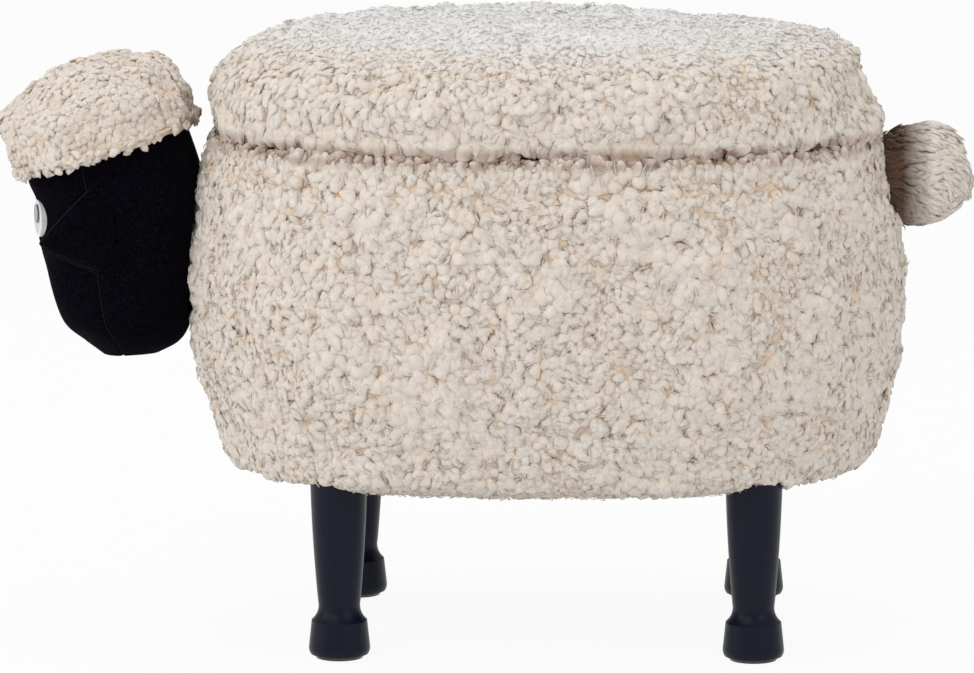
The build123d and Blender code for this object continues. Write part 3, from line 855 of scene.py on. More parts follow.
class Fleece:
    """Locks of wool, grown over a surface and split into pieces of a fair size."""

    ring_shares = (0.0, 0.18, 0.45, 0.72, 0.91)
    thickness_shares = (0.60, 0.90, 1.0, 0.84, 0.45)
    along_power = 1.1
    arch_turn = 0.82 * math.pi
    arch_power = 0.8
    slope_step = 0.04
    tries_per_root = 5.5
    wander_share = 0.6
    cell_margin = 0.08
    cell_root = 0.04

    def __init__(self, name: str, style: LockStyle) -> None:
        """Keeps the name and the style of one fleece, and starts its random draws.

        Args:
            name: The fleece's name, which also picks its seed.
            style: The shape and the lie of its locks.
        """
        self.name = name
        self.style = style
        self.random = np.random.default_rng(WOOL_SEEDS[name])

    def scatter(self, surface: Surface) -> tuple[Array, Array]:
        """Spreads roots over a surface, no two nearer than the spacing.

        Args:
            surface: The surface that the wool grows on.

        Returns:
            The roots and the surface's normals there.
        """
        corners = surface.points[surface.faces]
        lines = surface.normals()[surface.faces]
        areas = np.linalg.norm(surface.spans(), axis=1)
        tries = int(self.tries_per_root * areas.sum() / 2 / self.style.spacing**2)
        chosen = self.random.choice(len(areas), tries, p=areas / areas.sum())
        u, v = self.random.random((2, tries, 1))
        weights = ((1 - u) * (1 - v), u * (1 - v), u * v, (1 - u) * v)
        roots = sum(w * corners[chosen, k] for k, w in enumerate(weights))
        normals = sum(w * lines[chosen, k] for k, w in enumerate(weights))
        kept = self._apart(roots)
        return roots[kept], unit(normals[kept])

    def _apart(self, roots: Array) -> list[int]:
        """Thins the roots out.

        Args:
            roots: The roots, in the order that they were drawn.

        Returns:
            The numbers of those that keep their distance from all kept before them.
        """
        spacing = self.style.spacing
        cells: dict[tuple, list] = {}
        kept = []
        near = [(i, j, k) for i in (-1, 0, 1) for j in (-1, 0, 1) for k in (-1, 0, 1)]
        for index, (x, y, z) in enumerate(roots.tolist()):
            a, b, c = int(x // spacing), int(y // spacing), int(z // spacing)
            free = True
            for i, j, k in near:
                for ox, oy, oz in cells.get((a + i, b + j, c + k), ()):
                    if (x - ox) ** 2 + (y - oy) ** 2 + (z - oz) ** 2 < spacing**2:
                        free = False
                        break
                if not free:
                    break
            if free:
                cells.setdefault((a, b, c), []).append((x, y, z))
                kept.append(index)
        return kept

    def lie(self, roots: Array, normals: Array, towards: Array) -> Array:
        """The way each lock points along the surface.

        Args:
            roots: The roots.
            normals: The surface's normals there.
            towards: The way that the wool is combed or hangs, for each root.

        Returns:
            Unit directions in the surface.
        """
        style = self.style
        swirls = [Swelling(style.flow, style.tuft, WOOL_SEED + axis) for axis in range(3)]
        swirl = np.stack([part.at(roots) for part in swirls], axis=1)
        own = self.random.normal(0, style.wander, (len(roots), 3)) * self.wander_share
        wanted = towards + swirl + own
        wanted -= (wanted * normals).sum(axis=1, keepdims=True) * normals
        return unit(wanted)

    def grow(
        self,
        surface: Surface,
        towards: Callable[[Array, Array], Array],
        scale: Callable[[Array], Array] | None,
    ) -> list[bpy.types.Object]:
        """Grows the locks and makes their pieces.

        Args:
            surface: The surface that the wool grows on.
            towards: Gives the way that the wool hangs, from the roots and the normals.
            scale: Gives a size for the lock at each root, or none for all alike.

        Returns:
            The pieces, without a finish yet.
        """
        roots, normals = self.scatter(surface)
        order = np.argsort(np.arctan2(roots[:, 1], roots[:, 0] - roots[:, 0].mean()))
        roots, normals = roots[order], normals[order]
        lie = self.lie(roots, normals, towards(roots, normals))
        size = np.ones(len(roots)) if scale is None else scale(roots)
        per_lock = self.style.sides * 2 * len(self.ring_shares)
        share = max(1, math.ceil(len(roots) * per_lock / MOST_FACES))
        pieces = []
        for number, part in enumerate(np.array_split(np.arange(len(roots)), share), 1):
            name = f"{self.name}_{number}" if share > 1 else self.name
            pieces.append(self._piece(name, roots[part], normals[part], lie[part], size[part]))
        return pieces

    def _piece(
        self, name: str, roots: Array, normals: Array, lie: Array, size: Array
    ) -> bpy.types.Object:
        """Makes one mesh of many locks.

        Args:
            name: The piece's name.
            roots: The locks' roots.
            normals: The surface's normals there.
            lie: The way that each lock points along the surface.
            size: Each lock's size.

        Returns:
            The piece.
        """
        style, random, count = self.style, self.random, len(roots)
        t = np.array(self.ring_shares)
        length, width, lift = (
            usual * size * random.uniform(*spread, count)
            for usual, spread in zip((style.length, style.width, style.lift), style.spreads)
        )
        curl = length * random.uniform(-style.curl, style.curl, count)
        twist = random.uniform(*style.twists, count) * random.choice((-1, 1), count)
        phase = random.uniform(0, math.tau, count)
        turn = np.linspace(0, math.tau, style.sides, endpoint=False)

        def line(at: Array) -> Array:
            """Finds the middle line of each lock.

            Args:
                at: Places along the lock, from 0 to 1.

            Returns:
                How far along, aside and outwards each place is.
            """
            arch = np.sin(self.arch_turn * at**self.arch_power)
            out = lift[:, None] * arch - style.sink
            aside = curl[:, None] * np.sin(math.pi * at)
            return np.stack([length[:, None] * at**self.along_power, aside, out], -1)

        step = line(np.minimum(t + self.slope_step, 1)) - line(np.maximum(t - self.slope_step, 0))
        slope = unit(step[..., (0, 2)])
        half = width[:, None] / 2 * np.array(self.thickness_shares)
        turned = style.lobes * turn + twist[:, None, None] * t[:, None] + phase[:, None, None]
        lobes = 1 + style.lobe_depth * np.cos(turned)
        lobes = lobes * random.normal(1, style.roughness, lobes.shape)
        across = half[..., None] * lobes * np.cos(turn)
        upward = style.flatness * half[..., None] * lobes * np.sin(turn)
        offsets = np.stack([-upward * slope[..., 1:2], across, upward * slope[..., 0:1]], axis=-1)
        rings = (line(t)[:, :, None] + offsets).reshape(count, -1, 3)
        local = np.concatenate([rings, line(np.array([0.0, 1.0]))], axis=1)
        axes = np.stack([lie, np.cross(normals, lie), normals], axis=1)
        points = roots[:, None] + np.einsum("nvk,nkx->nvx", local, axes)
        return self._mesh(name, points, random.random(count))

    def _mesh(self, name: str, points: Array, tones: Array) -> bpy.types.Object:
        """Joins the locks' points into faces, with the maps of tone and of baking.

        Args:
            name: The piece's name.
            points: The points of each lock, its rings from the root first.
            tones: Each lock's tone, from 0 to 1.

        Returns:
            The piece.
        """
        count, per_lock = points.shape[:2]
        sides, rings = self.style.sides, len(self.ring_shares)
        ring, side = np.indices((rings - 1, sides)).reshape(2, -1)
        after = (side + 1) % sides
        low, high = ring * sides, (ring + 1) * sides
        quads = np.stack([low + side, low + after, high + after, high + side], axis=1)
        edge = np.arange(sides)
        edge_after = (edge + 1) % sides
        last = (rings - 1) * sides
        root_fan = np.stack([edge_after, edge, np.full(sides, rings * sides)], axis=1)
        tip_fan = np.stack([last + edge, last + edge_after, np.full(sides, rings * sides + 1)], 1)
        fans = np.concatenate([root_fan, tip_fan])
        starts = (np.arange(count) * per_lock)[:, None, None]
        faces = [(quads + starts).reshape(-1, 4), (fans + starts).reshape(-1, 3)]
        made = add_mesh(name, points.reshape(-1, 3), faces)
        t = np.array(self.ring_shares)
        quad_round = np.stack([side, side + 1, side + 1, side], axis=1) / sides
        quad_along = np.stack([t[ring], t[ring], t[ring + 1], t[ring + 1]], axis=1)
        root_round = np.stack([edge + 1, edge, edge + 0.5], axis=1) / sides
        tip_round = np.stack([edge, edge + 1, edge + 0.5], axis=1) / sides
        fan_round = np.concatenate([root_round, tip_round])
        fan_along = np.repeat([(0, 0, 0), (t[-1], t[-1], 1)], sides, axis=0)
        across = math.ceil(math.sqrt(count))
        cells = np.stack([np.arange(count) % across, np.arange(count) // across], axis=1)
        lock_corners, bake_corners = [], []
        for rounds, alongs in ((quad_round, quad_along), (fan_round, fan_along)):
            shape = (count, *rounds.shape)
            tone = np.broadcast_to(tones[:, None, None], shape)
            lock_corners.append(np.stack([tone, np.broadcast_to(alongs, shape)], -1).reshape(-1, 2))
            raised = self.cell_root + (1 - self.cell_root) * alongs
            inside = np.stack([rounds, raised], axis=-1) * (1 - 2 * self.cell_margin)
            cell = (cells[:, None, None] + (inside + self.cell_margin)) / across
            bake_corners.append(cell.reshape(-1, 2))
        for map_name, corners in (("Lock", lock_corners), ("OFBake", bake_corners)):
            layer = made.data.uv_layers.new(name=map_name)
            layer.uv.foreach_set("vector", np.concatenate(corners).astype(np.float32).ravel())
        return made


def dress_in_wool(
    coats: Iterable[Fleece],
    surface: Surface,
    towards: Callable[[Array, Array], Array],
    wool: bpy.types.Material,
    body: Body,
    scale: Callable[[Array], Array] | None = None,
) -> None:
    """Grows coats of wool on a surface.

    Args:
        coats: The coats, one after another.
        surface: The surface that the wool grows on.
        towards: Gives the way that the wool hangs, from the roots and the normals.
        wool: The wool's finish.
        body: The body that it rides on.
        scale: Gives a size for the lock at each root, or none for all alike.
    """
    for coat in coats:
        for piece in coat.grow(surface, towards, scale):
            settle(piece, wool, body, Slot.FLEECE)


# The stool's sub-assemblies


@dataclass(frozen=True)
class Padding:
    """What the body's and the lid's padding share: their plan and the seam between them."""

    oval: Oval
    seam_height: float
    seam_radius: float = 0.0120
    seam_gap: float = 0.00015
    backing_depth: float = 0.0028
    hem_depth: float = 0.0010
    hem_reach: float = 0.0250
    columns: int = 480
    seam_points: int = 9
    least_swelling: float = 0.15
    fill: float = 0.85
    size_range: tuple = (0.70, 1.35)

    def ring(self, outset: float, height: float, shrink: float = 1.0) -> Array:
        """One closed row of points round the plan.

        Args:
            outset: The distance outside the wall.
            height: The height above the floor.
            shrink: A share that draws the row in to the plan's middle.

        Returns:
            The points, one a row.
        """
        shares = np.linspace(0, 1, self.columns, endpoint=False)
        flat, _ = self.oval.points(shares, outset)
        flat = (flat - (self.oval.centre_x, 0)) * shrink + (self.oval.centre_x, 0)
        return np.column_stack([flat, np.full(self.columns, height)])

    def swept(self, outline: Iterable[tuple]) -> Array:
        """Rows of points for an outline of outsets and heights, from the bottom up."""
        return np.array([self.ring(outset, height) for outset, height in outline])

    def looseness(self, outline: list[tuple], low_flat: float, high_flat: float | None) -> Array:
        """How free each point of a section's line is, from 0 along its hems to 1.

        Args:
            outline: Outsets and heights of the wool's outside, from the bottom up.
            low_flat: The length at the lower end that is held tight.
            high_flat: The length at the upper end that is held tight, or none.

        Returns:
            A share for each point.
        """
        steps = np.linalg.norm(np.diff(np.array(outline), axis=0), axis=1)
        along = np.concatenate([[0], np.cumsum(steps)])
        share = np.interp(along, (low_flat, low_flat + self.hem_reach), (0, 1))
        if high_flat is not None:
            left = along[-1] - along
            share = share * np.interp(left, (high_flat, high_flat + self.hem_reach), (0, 1))
        return share

    def backing(self, outline: list[tuple], loose: Array) -> list[tuple]:
        """The line of the wool's backing cloth, under the outline of the wool itself.

        Args:
            outline: Outsets and heights of the wool's outside, from the bottom up.
            loose: How free each point is.

        Returns:
            Outsets and heights of the backing.
        """
        line = np.array(outline)
        step = np.gradient(line, axis=0)
        outwards = unit(np.column_stack([step[:, 1], -step[:, 0]]))
        depths = self.hem_depth + (self.backing_depth - self.hem_depth) * loose
        return list(map(tuple, line - outwards * depths[:, None]))

    def seam_arc(self, edge_outset: float, upward: bool) -> list[tuple]:
        """The rounded edge beside the seam, from the bottom up.

        Args:
            edge_outset: How far outside the wall the edge reaches.
            upward: Whether the edge is the lid's, over the seam.

        Returns:
            Outsets and heights.
        """
        centre_outset = edge_outset - self.seam_radius
        offset = self.seam_gap + self.seam_radius
        centre = self.seam_height + (offset if upward else -offset)
        first, last = (-math.pi / 2, 0) if upward else (0, math.pi / 2)
        turns = np.linspace(first, last, self.seam_points)
        return [
            (centre_outset + self.seam_radius * math.cos(t), centre + self.seam_radius * math.sin(t))
            for t in turns
        ]

    def swell(self, rows: Array, loose: Array, swellings: Iterable[Swelling]) -> Surface:
        """The padding's outside with its lumps, which are low where the cloth is held.

        Args:
            rows: The rows of the outside.
            loose: How free each row is.
            swellings: The lumps.

        Returns:
            The outside.
        """
        share = np.repeat(self.least_swelling + (1 - self.least_swelling) * loose, self.columns)
        return Surface.grid(rows).swollen(swellings, share)

    def close(
        self,
        name: str,
        outside: Surface,
        inner: Array,
        wool: bpy.types.Material,
        body: Body,
        stands_for: Iterable[str],
    ) -> None:
        """Makes a padding from its outside and the rows that close it within.

        Args:
            name: The piece's name.
            outside: Its outside.
            inner: The rows inside, from the outside's last row to its first.
            wool: Its finish.
            body: The body that it rides on.
            stands_for: The nodes that it replaces.
        """
        rows = np.concatenate([outside.points.reshape(-1, self.columns, 3), inner])
        loop = Surface.grid(rows, close_rows=True)
        made = add_mesh(name, loop.points, [loop.faces])
        settle(made, wool, body, Slot.FLEECE, stands_for)

    def patches(self, roots: Array, swelling: Swelling) -> Array:
        """Sizes of locks that vary in patches."""
        return np.clip(1 + swelling.at(roots), *self.size_range)


@dataclass(frozen=True)
class EndCorner:
    """How the body's lower corner rises towards one end of the stool.

    Attributes:
        way: The end's sign along X.
        start: How far from the middle the rise starts.
        end: How far from the middle it is full.
        height: The full rise.
    """

    way: int
    start: float
    end: float
    height: float

    def rise(self, along: Array) -> Array:
        """The rise for places along X."""
        share = np.clip((self.way * along - self.start) / (self.end - self.start), 0, 1)
        return self.height * share**2 * (3 - 2 * share)


@dataclass
class StoolBody:
    """The fleece and foam round the stool's wall."""

    padding: Padding
    underside: float
    wall_foot: float
    rim_height: float
    edge_outset: float = 0.0150
    bulge_outset: float = 0.0270
    bulge_height: float = 0.2415
    side_points: int = 40
    foot_outset: float = 0.0120
    foot_rise: float = 0.0200
    corner_outset: float = -0.0156
    corner_middle: tuple = (0.0011, 0.0053)
    corner_points: int = 14
    hang_depths: tuple = (0.0140, 0.0240)
    hang_rises: tuple = (1.3, -0.5)
    corner_top: float = 0.1900
    corner_fade: float = 0.0500
    end_corners: tuple = (
        EndCorner(-1, 0.055, 0.170, 0.0165),
        EndCorner(1, 0.120, 0.180, 0.0045),
    )
    held_outsets: tuple = (-0.0156, 0.0015, 0.0060, 0.0120)
    held_shares: tuple = (0.42, 0.12, 0.45, 1.00)
    tight_foot: float = 0.0380
    tight_rim: float = 0.0130
    hem_outset: float = -0.0300
    rim_lap: float = -0.0100
    wall_clearance: float = 0.0003
    swellings: tuple = (Swelling(0.0010, 0.035, 3), Swelling(0.0008, 0.012, 4))
    patches: Swelling = Swelling(0.13, 0.05, 8)
    seam_bare: float = 0.0002
    seam_fade: float = 0.0040
    seam_size: float = 0.35
    foot_fade: float = 0.0120
    foot_size: float = 0.60
    style: LockStyle = LockStyle()

    def outline(self) -> list[tuple]:
        """Draws the wool's outside in section.

        Returns:
            Outsets and heights, from the hem under the board to the seam.
        """
        low = self.underside
        foot = (self.foot_outset, low + self.foot_rise)
        bend, rise = self.corner_middle
        start = (self.corner_outset, low)
        corner = arc_through(start, (bend, low + rise), foot, self.corner_points)
        seam = self.padding.seam_arc(self.edge_outset, upward=False)
        bulge = (self.bulge_outset, self.bulge_height)
        side = arc_through(foot, bulge, seam[0], self.side_points)
        return [(self.hem_outset, low), *corner, *side[1:-1], *seam, (self.rim_lap, seam[-1][1])]

    def build(self, wool: bpy.types.Material) -> None:
        """Makes the padding and the wool on it.

        Args:
            wool: The wool's finish.
        """
        outline = self.outline()
        loose = self.padding.looseness(outline, self.tight_foot, self.tight_rim)
        rows = self.padding.swept(self.padding.backing(outline, loose))
        held = np.interp([outset for outset, _ in outline], self.held_outsets, self.held_shares)
        rows[..., 2] += self.corner_rise(rows) * held[:, None]
        outside = self.padding.swell(rows, loose, self.swellings)
        gap = self.wall_clearance
        inner = self.padding.swept([(gap, self.rim_height + gap), (gap, self.wall_foot - gap)])
        nodes = ("body_fleece_cover", "body_foam_wrap")
        self.padding.close("body_padding", outside, inner, wool, Body.STOOL, nodes)
        grown = outside.part(lambda middles: middles[:, 2] < self.padding.seam_height)
        coats = (Fleece("body_wool", self.style), Fleece("body_wisps", WISPS))
        dress_in_wool(coats, grown, self.hanging, wool, Body.STOOL, self.lock_size)

    def corner_rise(self, rows: Array) -> Array:
        """How much rounder the underside is at the ends of the stool."""
        low = np.clip((self.corner_top - rows[..., 2]) / self.corner_fade, 0, 1)
        return sum(corner.rise(rows[..., 0]) for corner in self.end_corners) * low

    def hanging(self, roots: Array, normals: Array) -> Array:
        """Finds the way that the wool hangs: up at the seam, and down lower.

        Args:
            roots: The locks' roots.
            normals: The surface's normals there; not used.

        Returns:
            One direction for each root.
        """
        below = self.padding.seam_height - roots[:, 2]
        rise = np.interp(below, self.hang_depths, self.hang_rises)
        return np.column_stack([np.zeros((len(roots), 2)), rise])

    def lock_size(self, roots: Array) -> Array:
        """Varies the locks in patches, and keeps them short in the seam and under the board.

        Args:
            roots: The locks' roots.

        Returns:
            One size for each root.
        """
        patches = self.padding.patches(roots, self.patches)
        below = self.padding.seam_height - self.seam_bare - roots[:, 2]
        seam = np.clip(below / self.seam_fade, self.seam_size, 1)
        under = np.clip((roots[:, 2] - self.underside) / self.foot_fade, self.foot_size, 1)
        return patches * seam * under


@dataclass
class StoolLid:
    """The padded lid, the sheep's back."""

    padding: Padding
    crown_height: float
    board_foot: float
    board_top: float
    edge_outset: float = 0.0080
    crown_outset: float = -0.1000
    crown_middle: tuple = (-0.0589, 0.0037)
    shoulder: tuple = (-0.0210, 0.0140)
    shoulder_middle: tuple = (-0.0051, 0.0234)
    side: tuple = (0.0060, 0.0370)
    side_middle: tuple = (0.0097, 0.0495)
    hem_outset: float = -0.0140
    board_clearance: float = 0.0003
    tight_foot: float = 0.0130
    arc_points: tuple = (10, 14, 26)
    crown_shrinks: tuple = (0.85, 0.68, 0.50, 0.32, 0.15, 0.004)
    board_shrink: float = 0.004
    arch_height: float = 0.0035
    arch_middle: float = 0.0250
    arch_half: float = 0.0600
    slope_start: float = 0.0500
    slope_length: float = 0.1000
    slope_drop: float = 0.0060
    end_reach: float = 0.2000
    end_levels: tuple = (0.000, 0.008, 0.013, 0.018, 0.024, 0.032, 0.042, 0.050, 0.060)
    head_end: tuple = (
        0.000, -0.0010, -0.0015, -0.0020, -0.0020, -0.0010, -0.0010, -0.0030, -0.0040
    )
    tail_end: tuple = (
        0.0020, 0.0040, 0.0030, -0.0010, -0.0060, -0.0075, -0.0050, 0.0010, 0.0030
    )
    seam_levels: tuple = (0.001, 0.004, 0.007, 0.014, 0.022)
    seam_sizes: tuple = (0.45, 0.70, 1.30, 1.30, 1.00)
    crown_levels: tuple = (0.008, 0.030)
    crown_sizes: tuple = (0.55, 1.00)
    swellings: tuple = (Swelling(0.0009, 0.035, 5), Swelling(0.0007, 0.012, 6))
    patches: Swelling = Swelling(0.12, 0.05, 9)
    side_fall: float = 1.3
    crown_spread: float = 0.35
    style: LockStyle = LockStyle(length=0.0090, wander=0.7)

    def outline(self) -> list[tuple]:
        """Draws the wool's outside in section.

        Returns:
            Outsets and heights, from the hem under the lid up to the crown.
        """
        seam = self.padding.seam_arc(self.edge_outset, upward=True)
        points = [
            (outset, self.crown_height - drop)
            for outset, drop in (
                self.side_middle,
                self.side,
                self.shoulder_middle,
                self.shoulder,
                self.crown_middle,
                (self.crown_outset, 0.0),
            )
        ]
        side_points, shoulder_points, crown_points = self.arc_points
        side = arc_through(seam[-1], points[0], points[1], side_points)
        rounded = arc_through(points[1], points[2], points[3], shoulder_points)
        crown = arc_through(points[3], points[4], points[5], crown_points)
        return [(self.hem_outset, seam[0][1]), *seam, *side[1:], *rounded[1:], *crown[1:]]

    def build(self, wool: bpy.types.Material) -> None:
        """Makes the padding and the wool on it.

        Args:
            wool: The wool's finish.
        """
        ring = self.padding.ring
        outline = self.outline()
        loose = self.padding.looseness(outline, self.tight_foot, None)
        skin = self.padding.backing(outline, loose)
        crown = [ring(outline[-1][0], skin[-1][1], shrink) for shrink in self.crown_shrinks]
        rows = self.leaned(np.concatenate([self.padding.swept(skin), crown]))
        loose = np.concatenate([loose, np.ones(len(crown))])
        outside = self.padding.swell(rows, loose, self.swellings)
        gap = self.board_clearance
        inner = np.array(
            [
                ring(0, self.board_top + gap, self.board_shrink),
                ring(gap, self.board_top + gap),
                ring(gap, self.board_foot - gap),
            ]
        )
        nodes = ("lid_fleece_cover", "lid_foam")
        self.padding.close("lid_padding", outside, inner, wool, Body.LID, nodes)
        coats = (Fleece("lid_wool", self.style), Fleece("lid_wisps", WISPS))
        dress_in_wool(coats, outside, self.hanging, wool, Body.LID, self.lock_size)

    def leaned(self, rows: Array) -> Array:
        """Gives the lid its arch, its slope to the tail and its two different ends.

        Args:
            rows: The rows of an even lid, which are changed in place.

        Returns:
            The same rows.
        """
        share = np.clip((rows[..., 2] - self.crown_height + self.shoulder[1]) / self.shoulder[1], 0, 1)
        along = (rows[..., 0] - self.arch_middle) / self.arch_half
        rows[..., 2] += self.arch_height * share * np.exp(-(along**2))
        slope = np.clip((rows[..., 0] - self.slope_start) / self.slope_length, 0, 1)
        rows[..., 2] -= self.slope_drop * share * slope
        end = np.clip((rows[..., 0] - self.padding.oval.centre_x) / self.end_reach, -1, 1)
        above = rows[..., 2] - self.padding.seam_height
        for way, moves in ((-1, self.head_end), (1, self.tail_end)):
            rows[..., 0] += np.interp(above, self.end_levels, moves) * np.clip(way * end, 0, 1) ** 2
        return rows

    def hanging(self, roots: Array, normals: Array) -> Array:
        """Finds the way that the wool hangs: down on the side, outwards and loose on the top.

        Args:
            roots: The locks' roots.
            normals: The surface's normals there.

        Returns:
            One direction for each root.
        """
        outwards = roots - (self.padding.oval.centre_x, 0, 0)
        outwards[:, 2] = 0
        level = np.clip(normals[:, 2:], 0, 1)
        spread = self.crown_spread * unit(outwards) * level
        return np.array([0, 0, -self.side_fall]) * (1 - level) + spread

    def lock_size(self, roots: Array) -> Array:
        """Varies the locks in patches, large over the seam and small on the crown.

        Args:
            roots: The locks' roots.

        Returns:
            One size for each root.
        """
        patches = self.padding.patches(roots, self.patches)
        above = roots[:, 2] - self.padding.seam_height
        seam = np.interp(above, self.seam_levels, self.seam_sizes)
        below = self.crown_height - roots[:, 2]
        return patches * seam * np.interp(below, self.crown_levels, self.crown_sizes)


@dataclass(frozen=True)
class StuffedForm:
    """A stuffed form through rounded sections.

    Attributes:
        low: The form's lowest corner.
        high: Its highest corner.
        section_shares: For each section from the bottom up, its height, front, back and width,
            as shares of the form's own.
        roundness: How square the sections are: 2 is an ellipse.
    """

    low: Vector
    high: Vector
    section_shares: tuple
    roundness: float = 2.5
    end_shares: ClassVar[tuple] = (0.01, 0.35, 0.70)

    def rows(self, levels: int, columns: int) -> Array:
        """The form as rows of points, from the bottom up.

        Args:
            levels: The number of rows.
            columns: The number of points in each row.

        Returns:
            The points, as rows by columns by 3.
        """
        sections = smooth_through(self.section_shares, np.linspace(0, 1, levels))
        size = self.high - self.low
        height = self.low.z + sections[:, 0] * size.z
        front = self.low.x + sections[:, 1] * size.x
        back = self.low.x + sections[:, 2] * size.x
        half_width = sections[:, 3] * size.y / 2
        turn = np.linspace(0, math.tau, columns, endpoint=False)
        power = 2 / self.roundness
        across = np.sign(np.cos(turn)) * np.abs(np.cos(turn)) ** power
        aside = np.sign(np.sin(turn)) * np.abs(np.sin(turn)) ** power
        middle_y = (self.low.y + self.high.y) / 2
        x = (front + back)[:, None] / 2 + (back - front)[:, None] / 2 * across
        y = middle_y + half_width[:, None] * aside
        return np.stack([x, y, np.repeat(height[:, None], columns, axis=1)], axis=-1)

    @classmethod
    def closed(cls, rows: Array) -> Array:
        """Adds small rings at each end, so that no hole is left.

        Args:
            rows: The rows of a form.

        Returns:
            The rows with the rings.
        """
        ends = []
        for end in (rows[0], rows[-1]):
            middle = end.mean(axis=0)
            ends.append([middle + (end - middle) * share for share in cls.end_shares])
        return np.concatenate([ends[0], rows, ends[1][::-1]])


def roll(line: Array, radius: float, sides: int = 8) -> Surface:
    """Makes a thin roll of cloth, or a seam's thread, along a line.

    Args:
        line: The line's points, one a row.
        radius: The roll's radius.
        sides: The number of its sides.

    Returns:
        The roll's surface.
    """
    ahead = unit(np.gradient(line, axis=0))
    across = unit(np.cross(ahead, (1, 0, 0)))
    outwards = np.cross(across, ahead)
    turn = np.linspace(0, math.tau, sides, endpoint=False)
    rows = (
        line[:, None]
        + radius * np.cos(turn)[:, None] * across[:, None]
        + radius * np.sin(turn)[:, None] * outwards[:, None]
    )
    return Surface.grid(StuffedForm.closed(rows))


def add_rolls(
    name: str, lines: Iterable[Array], radius: float, thread: bpy.types.Material
) -> None:
    """Makes one piece of thin rolls along lines on the head.

    Args:
        name: The piece's name.
        lines: The lines.
        radius: The rolls' radius.
        thread: Their finish, lighter than the black cloth as painted highlight.
    """
    rolls = [roll(line, radius) for line in lines]
    starts = np.cumsum([0] + [len(part.points) for part in rolls[:-1]])
    points = np.concatenate([part.points for part in rolls])
    made = add_mesh(name, points, [part.faces + start for part, start in zip(rolls, starts)])
    settle(made, thread, Body.STOOL, Slot.BLACK_CLOTH)


